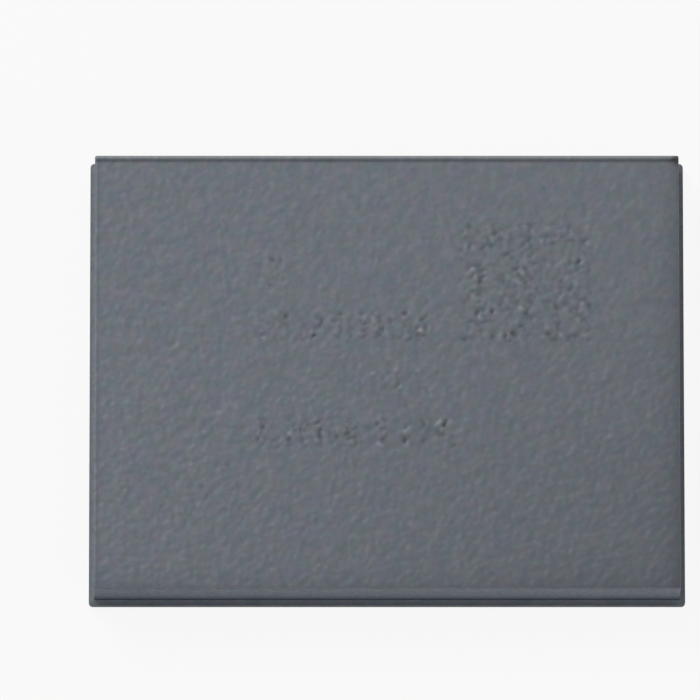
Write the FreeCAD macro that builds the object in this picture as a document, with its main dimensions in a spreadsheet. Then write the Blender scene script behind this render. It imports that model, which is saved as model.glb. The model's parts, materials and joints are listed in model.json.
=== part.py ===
"""Shielded wireless module, in millimetres.

A stepped laminate board carries a ring of soldered lands underneath and the radio's chips on top.
The chips are cast into a block of mould compound, and a thin metal shield covers the block and ends
in a foot on the board's ledge.  +Z is up, X is the long side, and the module stands on the tips of
its solder at Z = 0, centred on X = Y = 0.
"""

import FreeCAD, Part
import os

import Sketcher

# Driving dimensions: name, millimetres or count, meaning
SIZES = (
    ("board_length", 10.40, "lower tier of the board, along X"),
    ("board_width", 7.95, "lower tier of the board, along Y"),
    ("board_corner", 0.07, "radius of the lower tier's upright corners"),
    ("ledge_width", 0.095, "from the shield's wall to the board's edge"),
    ("shield_thickness", 0.020, "metal skin on roof, walls and ledge"),
    ("solder_standoff", 0.043, "solder tip below the mask face"),
    ("mask_over_copper", 0.012, "solder mask above its copper"),
    ("copper_thickness", 0.018, "lands, pads and outer copper"),
    ("foil_thickness", 0.018, "inner ground planes"),
    ("prepreg_thickness", 0.055, "each outer dielectric layer"),
    ("core_below_cut", 0.045, "core left under the half cut"),
    ("core_above_cut", 0.055, "core inside the half cut"),
    ("mask_pullback", 0.060, "bare rim between lower mask and board edge"),
    ("foil_pullback", 0.200, "lower ground plane to board edge"),
    ("land_pitch", 0.400, "centre to centre of the lands"),
    ("land_length", 0.500, "land, square to the board's edge"),
    ("land_width", 0.250, "land, along the board's edge"),
    ("land_inset", 0.210, "land's outer end to the board's edge"),
    ("long_row_margin", 1.150, "least distance from a long row's last centre to the edge"),
    ("short_row_margin", 0.340, "least distance from a short row's last centre to the edge"),
    ("mask_clearance", 0.050, "gap between a land and its mask opening"),
    ("crest_length", 0.320, "flat crest of a solder pillow, along the land"),
    ("crest_width", 0.090, "flat crest of a solder pillow, across the land"),
    ("pour_gap", 0.070, "lands' inner ends to the ground copper between them"),
    ("via_radius", 0.060, "ground via, to its corners"),
    ("via_pitch", 0.900, "ground vias, centre to centre"),
    ("via_columns", 3, "ground vias along X"),
    ("via_rows", 2, "ground vias along Y"),
    ("edge_clearance", 0.245, "inner parts to the mould's side"),
    ("mould_cover", 0.122, "mould above the tallest inner part"),
    ("part_standoff", 0.040, "inner parts above the upper mask"),
    ("window_margin", 0.050, "mask window beyond a part's pads"),
    ("pad_toe", 0.040, "pad beyond the end of its chip"),
    ("terminal_wrap", 0.015, "metal wrapped on a chip's ends"),
    ("joint_size", 0.220, "soldered pad under a package, square"),
    ("joint_inset", 0.100, "package's side to its outer pads"),
    ("die_length", 3.600, "radio die, along X"),
    ("die_width", 3.400, "radio die, along Y"),
    ("die_thickness", 0.300, "radio die"),
    ("pillar_radius", 0.055, "copper pillar under the die, to its corners"),
    ("pillar_pad", 0.140, "pad under a pillar, square"),
    ("pillar_inset", 0.300, "die's side to the outer pillars"),
    ("pillar_columns", 4, "pillars along X"),
    ("pillar_rows", 3, "pillars along Y"),
    ("amplifier_side", 1.600, "front-end module, both ways"),
    ("amplifier_height", 0.550, "front-end module"),
    ("amplifier_mark", 0.180, "cut corner that shows the first pad"),
    ("crystal_length", 1.600, "crystal package, along X"),
    ("crystal_width", 1.200, "crystal package, along Y"),
    ("crystal_wall", 0.170, "crystal package's side walls"),
    ("crystal_floor", 0.080, "crystal package's floor"),
    ("crystal_well", 0.050, "room under the quartz"),
    ("crystal_shelf", 0.300, "shelf that holds one end of the quartz"),
    ("quartz_play", 0.080, "quartz to the cavity's walls"),
    ("quartz_thickness", 0.050, "quartz blank"),
    ("quartz_headroom", 0.090, "room above the quartz"),
    ("lid_thickness", 0.080, "crystal package's metal lid"),
    ("lid_margin", 0.060, "lid's edge to the package's side"),
    ("filter_length", 1.400, "filter package, along X"),
    ("filter_width", 1.100, "filter package, along Y"),
    ("filter_base_thickness", 0.180, "filter package's base"),
    ("filter_chip_margin", 0.220, "filter chip to the package's side"),
    ("filter_chip_thickness", 0.180, "filter chip"),
    ("filter_cap_roof", 0.120, "filter cap above its chip"),
    ("diplexer_length", 1.600, "diplexer, along X"),
    ("diplexer_width", 0.800, "diplexer, along Y"),
    ("diplexer_height", 0.600, "diplexer"),
    ("switch_length", 1.100, "antenna switch, along X"),
    ("switch_width", 0.700, "antenna switch, along Y"),
    ("switch_height", 0.400, "antenna switch"),
    ("coil_length", 1.600, "power inductor, along X"),
    ("coil_width", 0.800, "power inductor, along Y"),
    ("coil_height", 0.650, "power inductor"),
    ("coil_terminal", 0.350, "power inductor's terminal, along its length"),
    ("coil_count", 2, "power inductors"),
    ("large_chip_length", 1.000, "decoupling capacitor, along X"),
    ("large_chip_width", 0.500, "decoupling capacitor, along Y"),
    ("large_chip_height", 0.500, "decoupling capacitor"),
    ("large_chip_terminal", 0.250, "decoupling capacitor's terminal"),
    ("decoupling_count", 5, "decoupling capacitors in the back row"),
    ("small_chip_length", 0.600, "small chip"),
    ("small_chip_width", 0.300, "small chip"),
    ("small_chip_height", 0.300, "small capacitor or inductor"),
    ("small_chip_terminal", 0.150, "small chip's terminal"),
    ("resistor_height", 0.230, "small resistor"),
    ("bypass_count", 5, "bypass capacitors in the left column"),
    ("resistor_count", 4, "resistors in the front row's left half"),
    ("matching_count", 4, "matching inductors in the front row's right half"),
)

# Heights and places that follow from the driving dimensions: name, formula
PLACES = (
    ("mask_face", "sizes.solder_standoff"),
    ("land_face", "mask_face + sizes.mask_over_copper"),
    ("laminate_base", "land_face + sizes.copper_thickness"),
    ("core_base", "laminate_base + sizes.prepreg_thickness"),
    ("ledge_base", "core_base + sizes.core_below_cut"),
    ("upper_foil_base", "ledge_base + sizes.core_above_cut"),
    ("upper_prepreg_base", "upper_foil_base + sizes.foil_thickness"),
    ("pad_base", "upper_prepreg_base + sizes.prepreg_thickness"),
    ("pad_top", "pad_base + sizes.copper_thickness"),
    ("mask_top", "pad_top + sizes.mask_over_copper"),
    ("part_base", "mask_top + sizes.part_standoff"),
    ("mask_depth", "sizes.copper_thickness + sizes.mask_over_copper"),
    ("joint_height", "part_base - pad_top"),
    ("quartz_base", "sizes.crystal_floor + sizes.crystal_well"),
    ("crystal_rim", "quartz_base + sizes.quartz_thickness + sizes.quartz_headroom"),
    ("filter_height", "sizes.filter_base_thickness + sizes.filter_chip_thickness + sizes.filter_cap_roof"),
    ("tallest_chip", "max(sizes.coil_height; sizes.large_chip_height; sizes.small_chip_height)"),
    ("tallest_block", "max(sizes.diplexer_height; sizes.amplifier_height; sizes.switch_height)"),
    ("tallest_package", "max(tallest_block; filter_height)"),
    ("tallest_cavity", "max(crystal_rim + sizes.lid_thickness; sizes.die_thickness; sizes.resistor_height)"),
    ("mould_top", "part_base + max(tallest_chip; tallest_package; tallest_cavity) + sizes.mould_cover"),
    ("shield_top", "mould_top + sizes.shield_thickness"),
    ("cap_length", "sizes.board_length - 2 * sizes.ledge_width"),
    ("cap_width", "sizes.board_width - 2 * sizes.ledge_width"),
    ("tier_length", "cap_length - 2 * sizes.shield_thickness"),
    ("tier_width", "cap_width - 2 * sizes.shield_thickness"),
    ("field_length", "tier_length - 2 * sizes.edge_clearance"),
    ("field_width", "tier_width - 2 * sizes.edge_clearance"),
    ("long_row_count", "floor((sizes.board_length - 2 * sizes.long_row_margin) / sizes.land_pitch) + 1"),
    ("short_row_count", "floor((sizes.board_width - 2 * sizes.short_row_margin) / sizes.land_pitch) + 1"),
    ("long_row_start", "-(long_row_count - 1) * sizes.land_pitch / 2"),
    ("short_row_start", "-(short_row_count - 1) * sizes.land_pitch / 2"),
    ("long_row_y", "sizes.board_width / 2 - sizes.land_inset - sizes.land_length / 2"),
    ("short_row_x", "sizes.board_length / 2 - sizes.land_inset - sizes.land_length / 2"),
    ("pour_length", "2 * short_row_x - sizes.land_length - 2 * sizes.pour_gap"),
    ("pour_width", "2 * long_row_y - sizes.land_length - 2 * sizes.pour_gap"),
    ("room_front", "-field_width / 2 + sizes.small_chip_length"),
    ("room_back", "field_width / 2 - sizes.large_chip_width"),
    ("room_depth", "room_back - room_front"),
    ("left_width", "max(sizes.amplifier_side; sizes.crystal_length; sizes.coil_length)"),
    ("right_parts", "max(sizes.filter_length; sizes.diplexer_length; sizes.switch_length)"),
    ("right_width", "max(sizes.amplifier_side; right_parts)"),
    ("used_length", "sizes.small_chip_length + sizes.die_length + left_width + right_width"),
    ("column_gap", "(field_length - used_length) / 3"),
    ("bypass_x", "-field_length / 2 + sizes.small_chip_length / 2"),
    ("die_x", "-field_length / 2 + sizes.small_chip_length + column_gap + sizes.die_length / 2"),
    ("die_y", "(room_front + room_back) / 2"),
    ("left_x", "die_x + sizes.die_length / 2 + column_gap + left_width / 2"),
    ("right_x", "field_length / 2 - right_width / 2"),
    ("coils_depth", "sizes.coil_count * sizes.coil_width"),
    ("left_used", "coils_depth + sizes.crystal_width + sizes.amplifier_side"),
    ("left_gap", "(room_depth - left_used) / (sizes.coil_count + 3)"),
    ("coil_pitch", "sizes.coil_width + left_gap"),
    ("coil_y", "room_front + left_gap + sizes.coil_width / 2"),
    ("crystal_y", "room_front + coils_depth + (sizes.coil_count + 1) * left_gap + sizes.crystal_width / 2"),
    ("left_amplifier_y", "room_back - left_gap - sizes.amplifier_side / 2"),
    ("small_packages", "sizes.switch_width + sizes.diplexer_width"),
    ("right_used", "small_packages + sizes.filter_width + sizes.amplifier_side"),
    ("right_gap", "(room_depth - right_used) / 5"),
    ("switch_y", "room_front + right_gap + sizes.switch_width / 2"),
    ("diplexer_y", "switch_y + right_gap + small_packages / 2"),
    ("filter_y", "room_front + small_packages + 3 * right_gap + sizes.filter_width / 2"),
    ("right_amplifier_y", "room_back - right_gap - sizes.amplifier_side / 2"),
    ("bypass_pitch", "room_depth / sizes.bypass_count"),
    ("bypass_y", "room_front + bypass_pitch / 2"),
    ("front_y", "-field_width / 2 + sizes.small_chip_length / 2"),
    ("back_y", "field_width / 2 - sizes.large_chip_width / 2"),
    ("resistor_pitch", "field_length / 2 / sizes.resistor_count"),
    ("resistor_x", "-field_length / 2 + resistor_pitch / 2"),
    ("matching_pitch", "field_length / 2 / sizes.matching_count"),
    ("matching_x", "matching_pitch / 2"),
    ("decoupling_pitch", "field_length / sizes.decoupling_count"),
    ("decoupling_x", "-field_length / 2 + decoupling_pitch / 2"),
    ("pillar_pitch_x", "(sizes.die_length - 2 * sizes.pillar_inset) / (sizes.pillar_columns - 1)"),
    ("pillar_pitch_y", "(sizes.die_width - 2 * sizes.pillar_inset) / (sizes.pillar_rows - 1)"),
    ("pillar_x", "die_x - sizes.die_length / 2 + sizes.pillar_inset"),
    ("pillar_y", "die_y - sizes.die_width / 2 + sizes.pillar_inset"),
    ("via_x", "die_x - (sizes.via_columns - 1) * sizes.via_pitch / 2"),
    ("via_y", "die_y - (sizes.via_rows - 1) * sizes.via_pitch / 2"),
)

PRISM_SIDES = 8
EQUAL_SPACING = -1.0
ZERO = "0"
ONE = "1"

doc = FreeCAD.newDocument("wireless_module")


def fill_sheet(name, rows):
    """Makes a sheet whose second column holds the values, each under its alias."""
    sheet = doc.addObject("Spreadsheet::Sheet", name)
    for number, row in enumerate(rows, start=1):
        alias, content = row[0], row[1]
        sheet.set(f"A{number}", alias)
        sheet.set(f"B{number}", content)
        sheet.setAlias(f"B{number}", alias)
        sheet.set(f"C{number}", row[2] if len(row) > 2 else "")
    doc.recompute()
    return sheet


sizes = fill_sheet("sizes", [(alias, str(number), note) for alias, number, note in SIZES])
places = fill_sheet("places", [(alias, "=" + formula) for alias, formula in PLACES])


def bind(item, bindings):
    """Ties properties of an object to expressions over the sheets."""
    for target, expression in bindings.items():
        item.setExpression(target, expression)


def value_of(expression):
    """The present number of an expression over the sheets."""
    return float(sizes.evalExpression(expression))


def turned(pair, along_x):
    """A pair of sizes or places given along and across a part, put in X, Y order."""
    return pair if along_x else pair[::-1]


def new_body(label, x=ZERO, y=ZERO, z=ZERO):
    """An empty body whose own origin is placed by three expressions."""
    body = doc.addObject("PartDesign::Body", label)
    body.Label = label
    bind(body, {"Placement.Base.x": x, "Placement.Base.y": y, "Placement.Base.z": z})
    return body


def origin_feature(body, role):
    """One of the body's own origin planes or axes."""
    return next(item for item in body.Origin.OriginFeatures if item.Role == role)


def new_sketch(body, name, lift=ZERO):
    """A sketch on the body's own ground plane, raised by an expression."""
    sketch = body.newObject("Sketcher::SketchObject", f"{body.Name}_{name}")
    sketch.AttachmentSupport = [(origin_feature(body, "XY_Plane"), "")]
    sketch.MapMode = "FlatFace"
    bind(sketch, {"AttachmentOffset.Base.z": lift})
    return sketch


def draw_rectangle(sketch, x_size, y_size, x_mid=ZERO, y_mid=ZERO):
    """Draws a rectangle whose sides and place are bound to expressions."""
    left = f"{x_mid} - ({x_size}) / 2"
    front = f"{y_mid} - ({y_size}) / 2"
    x0 = value_of(left)
    y0 = value_of(front)
    x1 = x0 + value_of(x_size)
    y1 = y0 + value_of(y_size)
    corners = [FreeCAD.Vector(x, y, 0) for x, y in ((x0, y0), (x1, y0), (x1, y1), (x0, y1))]
    first = sketch.GeometryCount
    for side in range(4):
        sketch.addGeometry(Part.LineSegment(corners[side], corners[(side + 1) % 4]), False)
    for side in range(4):
        sketch.addConstraint(Sketcher.Constraint("Coincident", first + side, 2, first + (side + 1) % 4, 1))
        direction = "Vertical" if side % 2 else "Horizontal"
        sketch.addConstraint(Sketcher.Constraint(direction, first + side))
    measures = (
        (Sketcher.Constraint("DistanceX", first, 1, first, 2, x1 - x0), x_size),
        (Sketcher.Constraint("DistanceY", first + 1, 1, first + 1, 2, y1 - y0), y_size),
        (Sketcher.Constraint("DistanceX", -1, 1, first, 1, x0), left),
        (Sketcher.Constraint("DistanceY", -1, 1, first, 1, y0), front),
    )
    for constraint, expression in measures:
        number = sketch.addConstraint(constraint)
        bind(sketch, {f"Constraints[{number}]": expression})


def pad_block(body, name, x_size, y_size, height, lift=ZERO, x_mid=ZERO, y_mid=ZERO):
    """Pads one rectangle upwards from its lift."""
    sketch = new_sketch(body, name + "_outline", lift)
    draw_rectangle(sketch, x_size, y_size, x_mid, y_mid)
    pad = body.newObject("PartDesign::Pad", f"{body.Name}_{name}")
    pad.Profile = sketch
    bind(pad, {"Length": height})
    return pad


def pocket_block(body, name, x_size, y_size, depth, lift=ZERO, x_mid=ZERO, y_mid=ZERO):
    """Cuts one rectangle upwards from its lift, and makes sure that it took material away."""
    doc.recompute()
    before = body.Shape.Volume
    sketch = new_sketch(body, name + "_outline", lift)
    draw_rectangle(sketch, x_size, y_size, x_mid, y_mid)
    pocket = body.newObject("PartDesign::Pocket", f"{body.Name}_{name}")
    pocket.Profile = sketch
    pocket.Reversed = True
    bind(pocket, {"Length": depth})
    doc.recompute()
    if body.Shape.Volume >= before:
        raise RuntimeError(f"{pocket.Name} cuts nothing")
    return pocket


def repeat(body, features, x_count=ONE, x_pitch=ONE, y_count=ONE, y_pitch=ONE):
    """Repeats features of a body in columns along X and rows along Y."""
    pattern = body.newObject("PartDesign::LinearPattern", f"{body.Name}_pattern")
    pattern.Originals = features
    pattern.Direction = (origin_feature(body, "X_Axis"), [""])
    pattern.Direction2 = (origin_feature(body, "Y_Axis"), [""])
    pattern.Mode = "Spacing"
    pattern.Mode2 = "Spacing"
    pattern.Spacings2 = [EQUAL_SPACING]
    bind(pattern, {"Occurrences": x_count, "Offset": x_pitch, "Occurrences2": y_count, "Offset2": y_pitch})
    body.Tip = pattern
    return pattern


def is_upright(edge):
    """Whether an edge runs along Z."""
    box = edge.BoundBox
    return box.ZLength > 10 * max(box.XLength, box.YLength)


def round_edges(body, feature, name, radius, chosen):
    """Fillets the edges of a feature that a test chooses."""
    doc.recompute()
    edges = [f"Edge{number}" for number, edge in enumerate(feature.Shape.Edges, start=1) if chosen(edge)]
    fillet = body.newObject("PartDesign::Fillet", f"{body.Name}_{name}")
    fillet.Base = (feature, edges)
    bind(fillet, {"Radius": radius})
    return fillet


def block_grid(label, x_size, y_size, height, x, y, z, columns=ONE, x_pitch=ONE, rows=ONE, y_pitch=ONE):
    """A grid of equal blocks; x, y and z place the middle of the first one's underside."""
    body = new_body(label, x, y, z)
    pad = pad_block(body, "block", x_size, y_size, height)
    repeat(body, [pad], columns, x_pitch, rows, y_pitch)
    return body


def prism_grid(label, radius, height, x, y, z, columns, x_pitch, rows, y_pitch):
    """A grid of equal upright prisms, for pillars and vias."""
    body = new_body(label, x, y, z)
    prism = body.newObject("PartDesign::AdditivePrism", f"{label}_prism")
    prism.Polygon = PRISM_SIDES
    bind(prism, {"Circumradius": radius, "Height": height})
    repeat(body, [prism], columns, x_pitch, rows, y_pitch)
    return body


def plate(label, length, width, thickness, z):
    """A plain rectangular layer, centred on the module's axis."""
    layer = doc.addObject("Part::Box", label)
    layer.Label = label
    bind(layer, {
        "Length": length,
        "Width": width,
        "Height": thickness,
        "Placement.Base.x": f"-({length}) / 2",
        "Placement.Base.y": f"-({width}) / 2",
        "Placement.Base.z": z,
    })
    return layer


def group(label, members):
    """Separate solids of one kind, kept together."""
    together = doc.addObject("Part::Compound", label)
    together.Label = label
    together.Links = members
    return together


def cut(label, base, tool):
    """What is left of a base once a tool's space is taken out of it."""
    remainder = doc.addObject("Part::Cut", label)
    remainder.Label = label
    remainder.Base = base
    remainder.Tool = tool
    return remainder


# The four land rows: name, columns, rows, x and y of the first centre, and whether the rows run along X
LAND_ROWS = (
    ("front", "places.long_row_count", ONE, "places.long_row_start", "-places.long_row_y", True),
    ("back", "places.long_row_count", ONE, "places.long_row_start", "places.long_row_y", True),
    ("left", ONE, "places.short_row_count", "-places.short_row_x", "places.short_row_start", False),
    ("right", ONE, "places.short_row_count", "places.short_row_x", "places.short_row_start", False),
)


def land_rows(prefix, grow, height, z):
    """Four rows of blocks on the land places, each block larger than its land by grow all round."""
    across = f"sizes.land_width + 2 * {grow}"
    along = f"sizes.land_length + 2 * {grow}"
    rows = []
    for side, columns, lines, x, y, runs_along_x in LAND_ROWS:
        x_size, y_size = turned((across, along), runs_along_x)
        rows.append(block_grid(f"{prefix}_{side}", x_size, y_size, height, x, y, z,
                               columns, "sizes.land_pitch", lines, "sizes.land_pitch"))
    return rows


def solder_rows():
    """Four rows of solder pillows: each spreads from a narrow flat crest at the bottom to its whole land."""
    rows = []
    for side, columns, lines, x, y, runs_along_x in LAND_ROWS:
        foot_x, foot_y = turned(("sizes.land_width", "sizes.land_length"), runs_along_x)
        crest_x, crest_y = turned(("sizes.crest_width", "sizes.crest_length"), runs_along_x)
        body = new_body(f"solder_{side}", x, y, ZERO)
        pillow = body.newObject("PartDesign::AdditiveWedge", f"{body.Name}_pillow")
        pillow.AttachmentSupport = [(origin_feature(body, "XZ_Plane"), "")]
        pillow.MapMode = "FlatFace"
        bind(pillow, {
            "Ymin": ZERO, "Xmin": f"-{crest_x} / 2", "Xmax": f"{crest_x} / 2",
            "Zmin": f"-{crest_y} / 2", "Zmax": f"{crest_y} / 2",
            "Ymax": "places.land_face", "X2min": f"-{foot_x} / 2", "X2max": f"{foot_x} / 2",
            "Z2min": f"-{foot_y} / 2", "Z2max": f"{foot_y} / 2",
        })
        repeat(body, [pillow], columns, "sizes.land_pitch", lines, "sizes.land_pitch")
        rows.append(body)
    return rows


def lower_tier(label, thickness, z):
    """A board layer with the full outline and its small corner radii."""
    body = new_body(label, z=z)
    pad = pad_block(body, "tier", "sizes.board_length", "sizes.board_width", thickness)
    round_edges(body, pad, "corners", "sizes.board_corner", is_upright)
    return body


def board():
    """The laminate: stepped core, dielectric layers, ground copper, vias and both solder masks."""
    vias = prism_grid("ground_vias", "sizes.via_radius", "places.upper_foil_base - places.laminate_base",
                      "places.via_x", "places.via_y", "places.laminate_base",
                      "sizes.via_columns", "sizes.via_pitch", "sizes.via_rows", "sizes.via_pitch")

    stepped = lower_tier("stepped_core", "sizes.core_below_cut", "places.core_base")
    pad_block(stepped, "upper_tier", "places.tier_length", "places.tier_width", "sizes.core_above_cut",
              "sizes.core_below_cut")
    core = cut("substrate_core", stepped, vias)

    foil = plate("lower_foil", "sizes.board_length - 2 * sizes.foil_pullback",
                 "sizes.board_width - 2 * sizes.foil_pullback", "sizes.foil_thickness",
                 "places.core_base - sizes.foil_thickness")
    lower_plane = cut("ground_plane_lower", foil, vias)
    lower_blank = lower_tier("lower_dielectric", "sizes.prepreg_thickness", "places.laminate_base")
    lower_prepreg = cut("prepreg_lower", lower_blank, group("lower_dielectric_room", [foil, vias]))

    upper_plane = plate("ground_plane_upper", "places.tier_length", "places.tier_width",
                        "sizes.foil_thickness", "places.upper_foil_base")
    upper_prepreg = plate("prepreg_upper", "places.tier_length", "places.tier_width",
                          "sizes.prepreg_thickness", "places.upper_prepreg_base")

    pour = plate("centre_pour", "places.pour_length", "places.pour_width", "sizes.copper_thickness",
                 "places.land_face")
    mask = plate("lower_mask_sheet", "sizes.board_length - 2 * sizes.mask_pullback",
                 "sizes.board_width - 2 * sizes.mask_pullback", "places.mask_depth", "places.mask_face")
    openings = land_rows("mask_opening", "sizes.mask_clearance", "places.mask_depth", "places.mask_face")
    lower_mask = cut("solder_mask_bottom", mask, group("lower_mask_room", [*openings, pour]))
    return [core, lower_plane, lower_prepreg, upper_plane, upper_prepreg, pour, lower_mask, vias]


class InnerParts:
    """The chips on the board's upper side, with their pads, solder joints and mask windows."""

    def __init__(self):
        self.nodes = []
        self.pads = []
        self.joints = []
        self.windows = []

    def solder_down(self, name, x_size, y_size, x, y, columns, x_pitch, rows, y_pitch,
                    toe_x=ZERO, toe_y=ZERO):
        """Pads and solder joints under a part; a toe lengthens each pad past the part's end."""
        pads = block_grid(f"{name}_pads", f"{x_size} + 2 * {toe_x}", f"{y_size} + 2 * {toe_y}",
                          "sizes.copper_thickness", x, y, "places.pad_base", columns, x_pitch, rows, y_pitch)
        joints = block_grid(f"{name}_joints", x_size, y_size, "places.joint_height", x, y, "places.pad_top",
                            columns, x_pitch, rows, y_pitch)
        self.pads.append(pads)
        self.joints.append(joints)

    def open_mask(self, name, x_size, y_size, x, y, columns=ONE, x_pitch=ONE, rows=ONE, y_pitch=ONE):
        """Mask windows round the pads of a part or of a row of parts."""
        window = block_grid(f"{name}_windows", f"{x_size} + 2 * sizes.window_margin",
                            f"{y_size} + 2 * sizes.window_margin", "places.mask_depth", x, y,
                            "places.pad_base", columns, x_pitch, rows, y_pitch)
        self.windows.append(window)

    def package(self, name, length, width, x, y, columns, rows):
        """Mask window and joint grid for a leadless package."""
        x_room = f"({length} - 2 * sizes.joint_inset - sizes.joint_size)"
        y_room = f"({width} - 2 * sizes.joint_inset - sizes.joint_size)"
        self.solder_down(name, "sizes.joint_size", "sizes.joint_size", f"{x} - {x_room} / 2",
                         f"{y} - {y_room} / 2", str(columns), f"{x_room} / {columns - 1}",
                         str(rows), f"{y_room} / {rows - 1}")
        self.open_mask(name, length, width, x, y)

    def chip_row(self, name, length, width, height, terminal, x, y, lies_along_x,
                 columns, x_pitch, rows, y_pitch):
        """A row of two-ended chips: ceramic bodies, metal end caps, pads, joints and windows."""
        wrap = "2 * sizes.terminal_wrap"
        reach = f"({length} - {terminal})"
        core_size = turned((f"{length} - {wrap}", f"{width} - {wrap}"), lies_along_x)
        core_height = f"{height} - {wrap}"
        core_base = "places.part_base + sizes.terminal_wrap"
        end_size = turned((terminal, width), lies_along_x)
        self.nodes.append(block_grid(f"{name}_bodies", *core_size, core_height, x, y, core_base,
                                     columns, x_pitch, rows, y_pitch))

        caps = new_body(f"{name}_terminals", x, y, "places.part_base")
        ends = new_sketch(caps, "ends")
        for sign in ("-", ""):
            draw_rectangle(ends, *end_size, *turned((f"{sign}{reach} / 2", ZERO), lies_along_x))
        blocks = caps.newObject("PartDesign::Pad", f"{caps.Name}_blocks")
        blocks.Profile = ends
        bind(blocks, {"Length": height})
        hollow = pocket_block(caps, "hollow", *core_size, core_height, "sizes.terminal_wrap")
        repeat(caps, [blocks, hollow], columns, x_pitch, rows, y_pitch)
        self.nodes.append(caps)

        toe = turned(("sizes.pad_toe", ZERO), lies_along_x)
        for end, sign in (("first", "-"), ("second", "+")):
            x_end, y_end = turned((f"{sign} {reach} / 2", ""), lies_along_x)
            self.solder_down(f"{name}_{end}", *end_size, f"{x} {x_end}", f"{y} {y_end}",
                             columns, x_pitch, rows, y_pitch, *toe)
        window = turned((f"{length} + 2 * sizes.pad_toe", width), lies_along_x)
        self.open_mask(name, *window, x, y, columns, x_pitch, rows, y_pitch)


def amplifier(label, x, y):
    """A front-end module: a moulded block with one cut corner over its first pad."""
    body = new_body(label, x, y, "places.part_base")
    pad = pad_block(body, "block", "sizes.amplifier_side", "sizes.amplifier_side", "sizes.amplifier_height")
    doc.recompute()
    corner = [f"Edge{number}" for number, edge in enumerate(pad.Shape.Edges, start=1)
              if is_upright(edge) and edge.BoundBox.XMax < 0 < edge.BoundBox.YMin]
    chamfer = body.newObject("PartDesign::Chamfer", f"{label}_mark")
    chamfer.Base = (pad, corner)
    bind(chamfer, {"Size": "sizes.amplifier_mark"})
    return body


def crystal():
    """The clock crystal: a ceramic tub with a shelf, the quartz held at one end, and a metal lid."""
    x, y, z = "places.left_x", "places.crystal_y", "places.part_base"
    cavity_length = "sizes.crystal_length - 2 * sizes.crystal_wall"
    cavity_width = "sizes.crystal_width - 2 * sizes.crystal_wall"
    tub = new_body("crystal_base", x, y, z)
    pad_block(tub, "block", "sizes.crystal_length", "sizes.crystal_width", "places.crystal_rim")
    pocket_block(tub, "cavity", cavity_length, cavity_width, "places.crystal_rim - places.quartz_base",
                 "places.quartz_base")
    pocket_block(tub, "well", f"{cavity_length} - sizes.crystal_shelf", cavity_width, "sizes.crystal_well",
                 "sizes.crystal_floor", "sizes.crystal_shelf / 2")
    quartz = block_grid("quartz_blank", f"{cavity_length} - 2 * sizes.quartz_play",
                        f"{cavity_width} - 2 * sizes.quartz_play", "sizes.quartz_thickness",
                        x, y, "places.part_base + places.quartz_base")
    lid = block_grid("crystal_lid", "sizes.crystal_length - 2 * sizes.lid_margin",
                     "sizes.crystal_width - 2 * sizes.lid_margin", "sizes.lid_thickness",
                     x, y, "places.part_base + places.crystal_rim")
    hollow = block_grid("crystal_hollow", cavity_length, cavity_width,
                        "places.crystal_rim - sizes.crystal_floor", x, y,
                        "places.part_base + sizes.crystal_floor")
    return [tub, quartz, lid], hollow


def bandpass_filter():
    """The filter: a base, the acoustic chip on it, and a cap that closes over the chip."""
    x, y = "places.right_x", "places.filter_y"
    chip_base = "places.part_base + sizes.filter_base_thickness"
    base = block_grid("filter_base", "sizes.filter_length", "sizes.filter_width",
                      "sizes.filter_base_thickness", x, y, "places.part_base")
    chip = block_grid("filter_chip", "sizes.filter_length - 2 * sizes.filter_chip_margin",
                      "sizes.filter_width - 2 * sizes.filter_chip_margin",
                      "sizes.filter_chip_thickness", x, y, chip_base)
    blank = block_grid("filter_cap_blank", "sizes.filter_length", "sizes.filter_width",
                       "sizes.filter_chip_thickness + sizes.filter_cap_roof", x, y, chip_base)
    return [base, chip, cut("filter_cap", blank, chip)]


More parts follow.
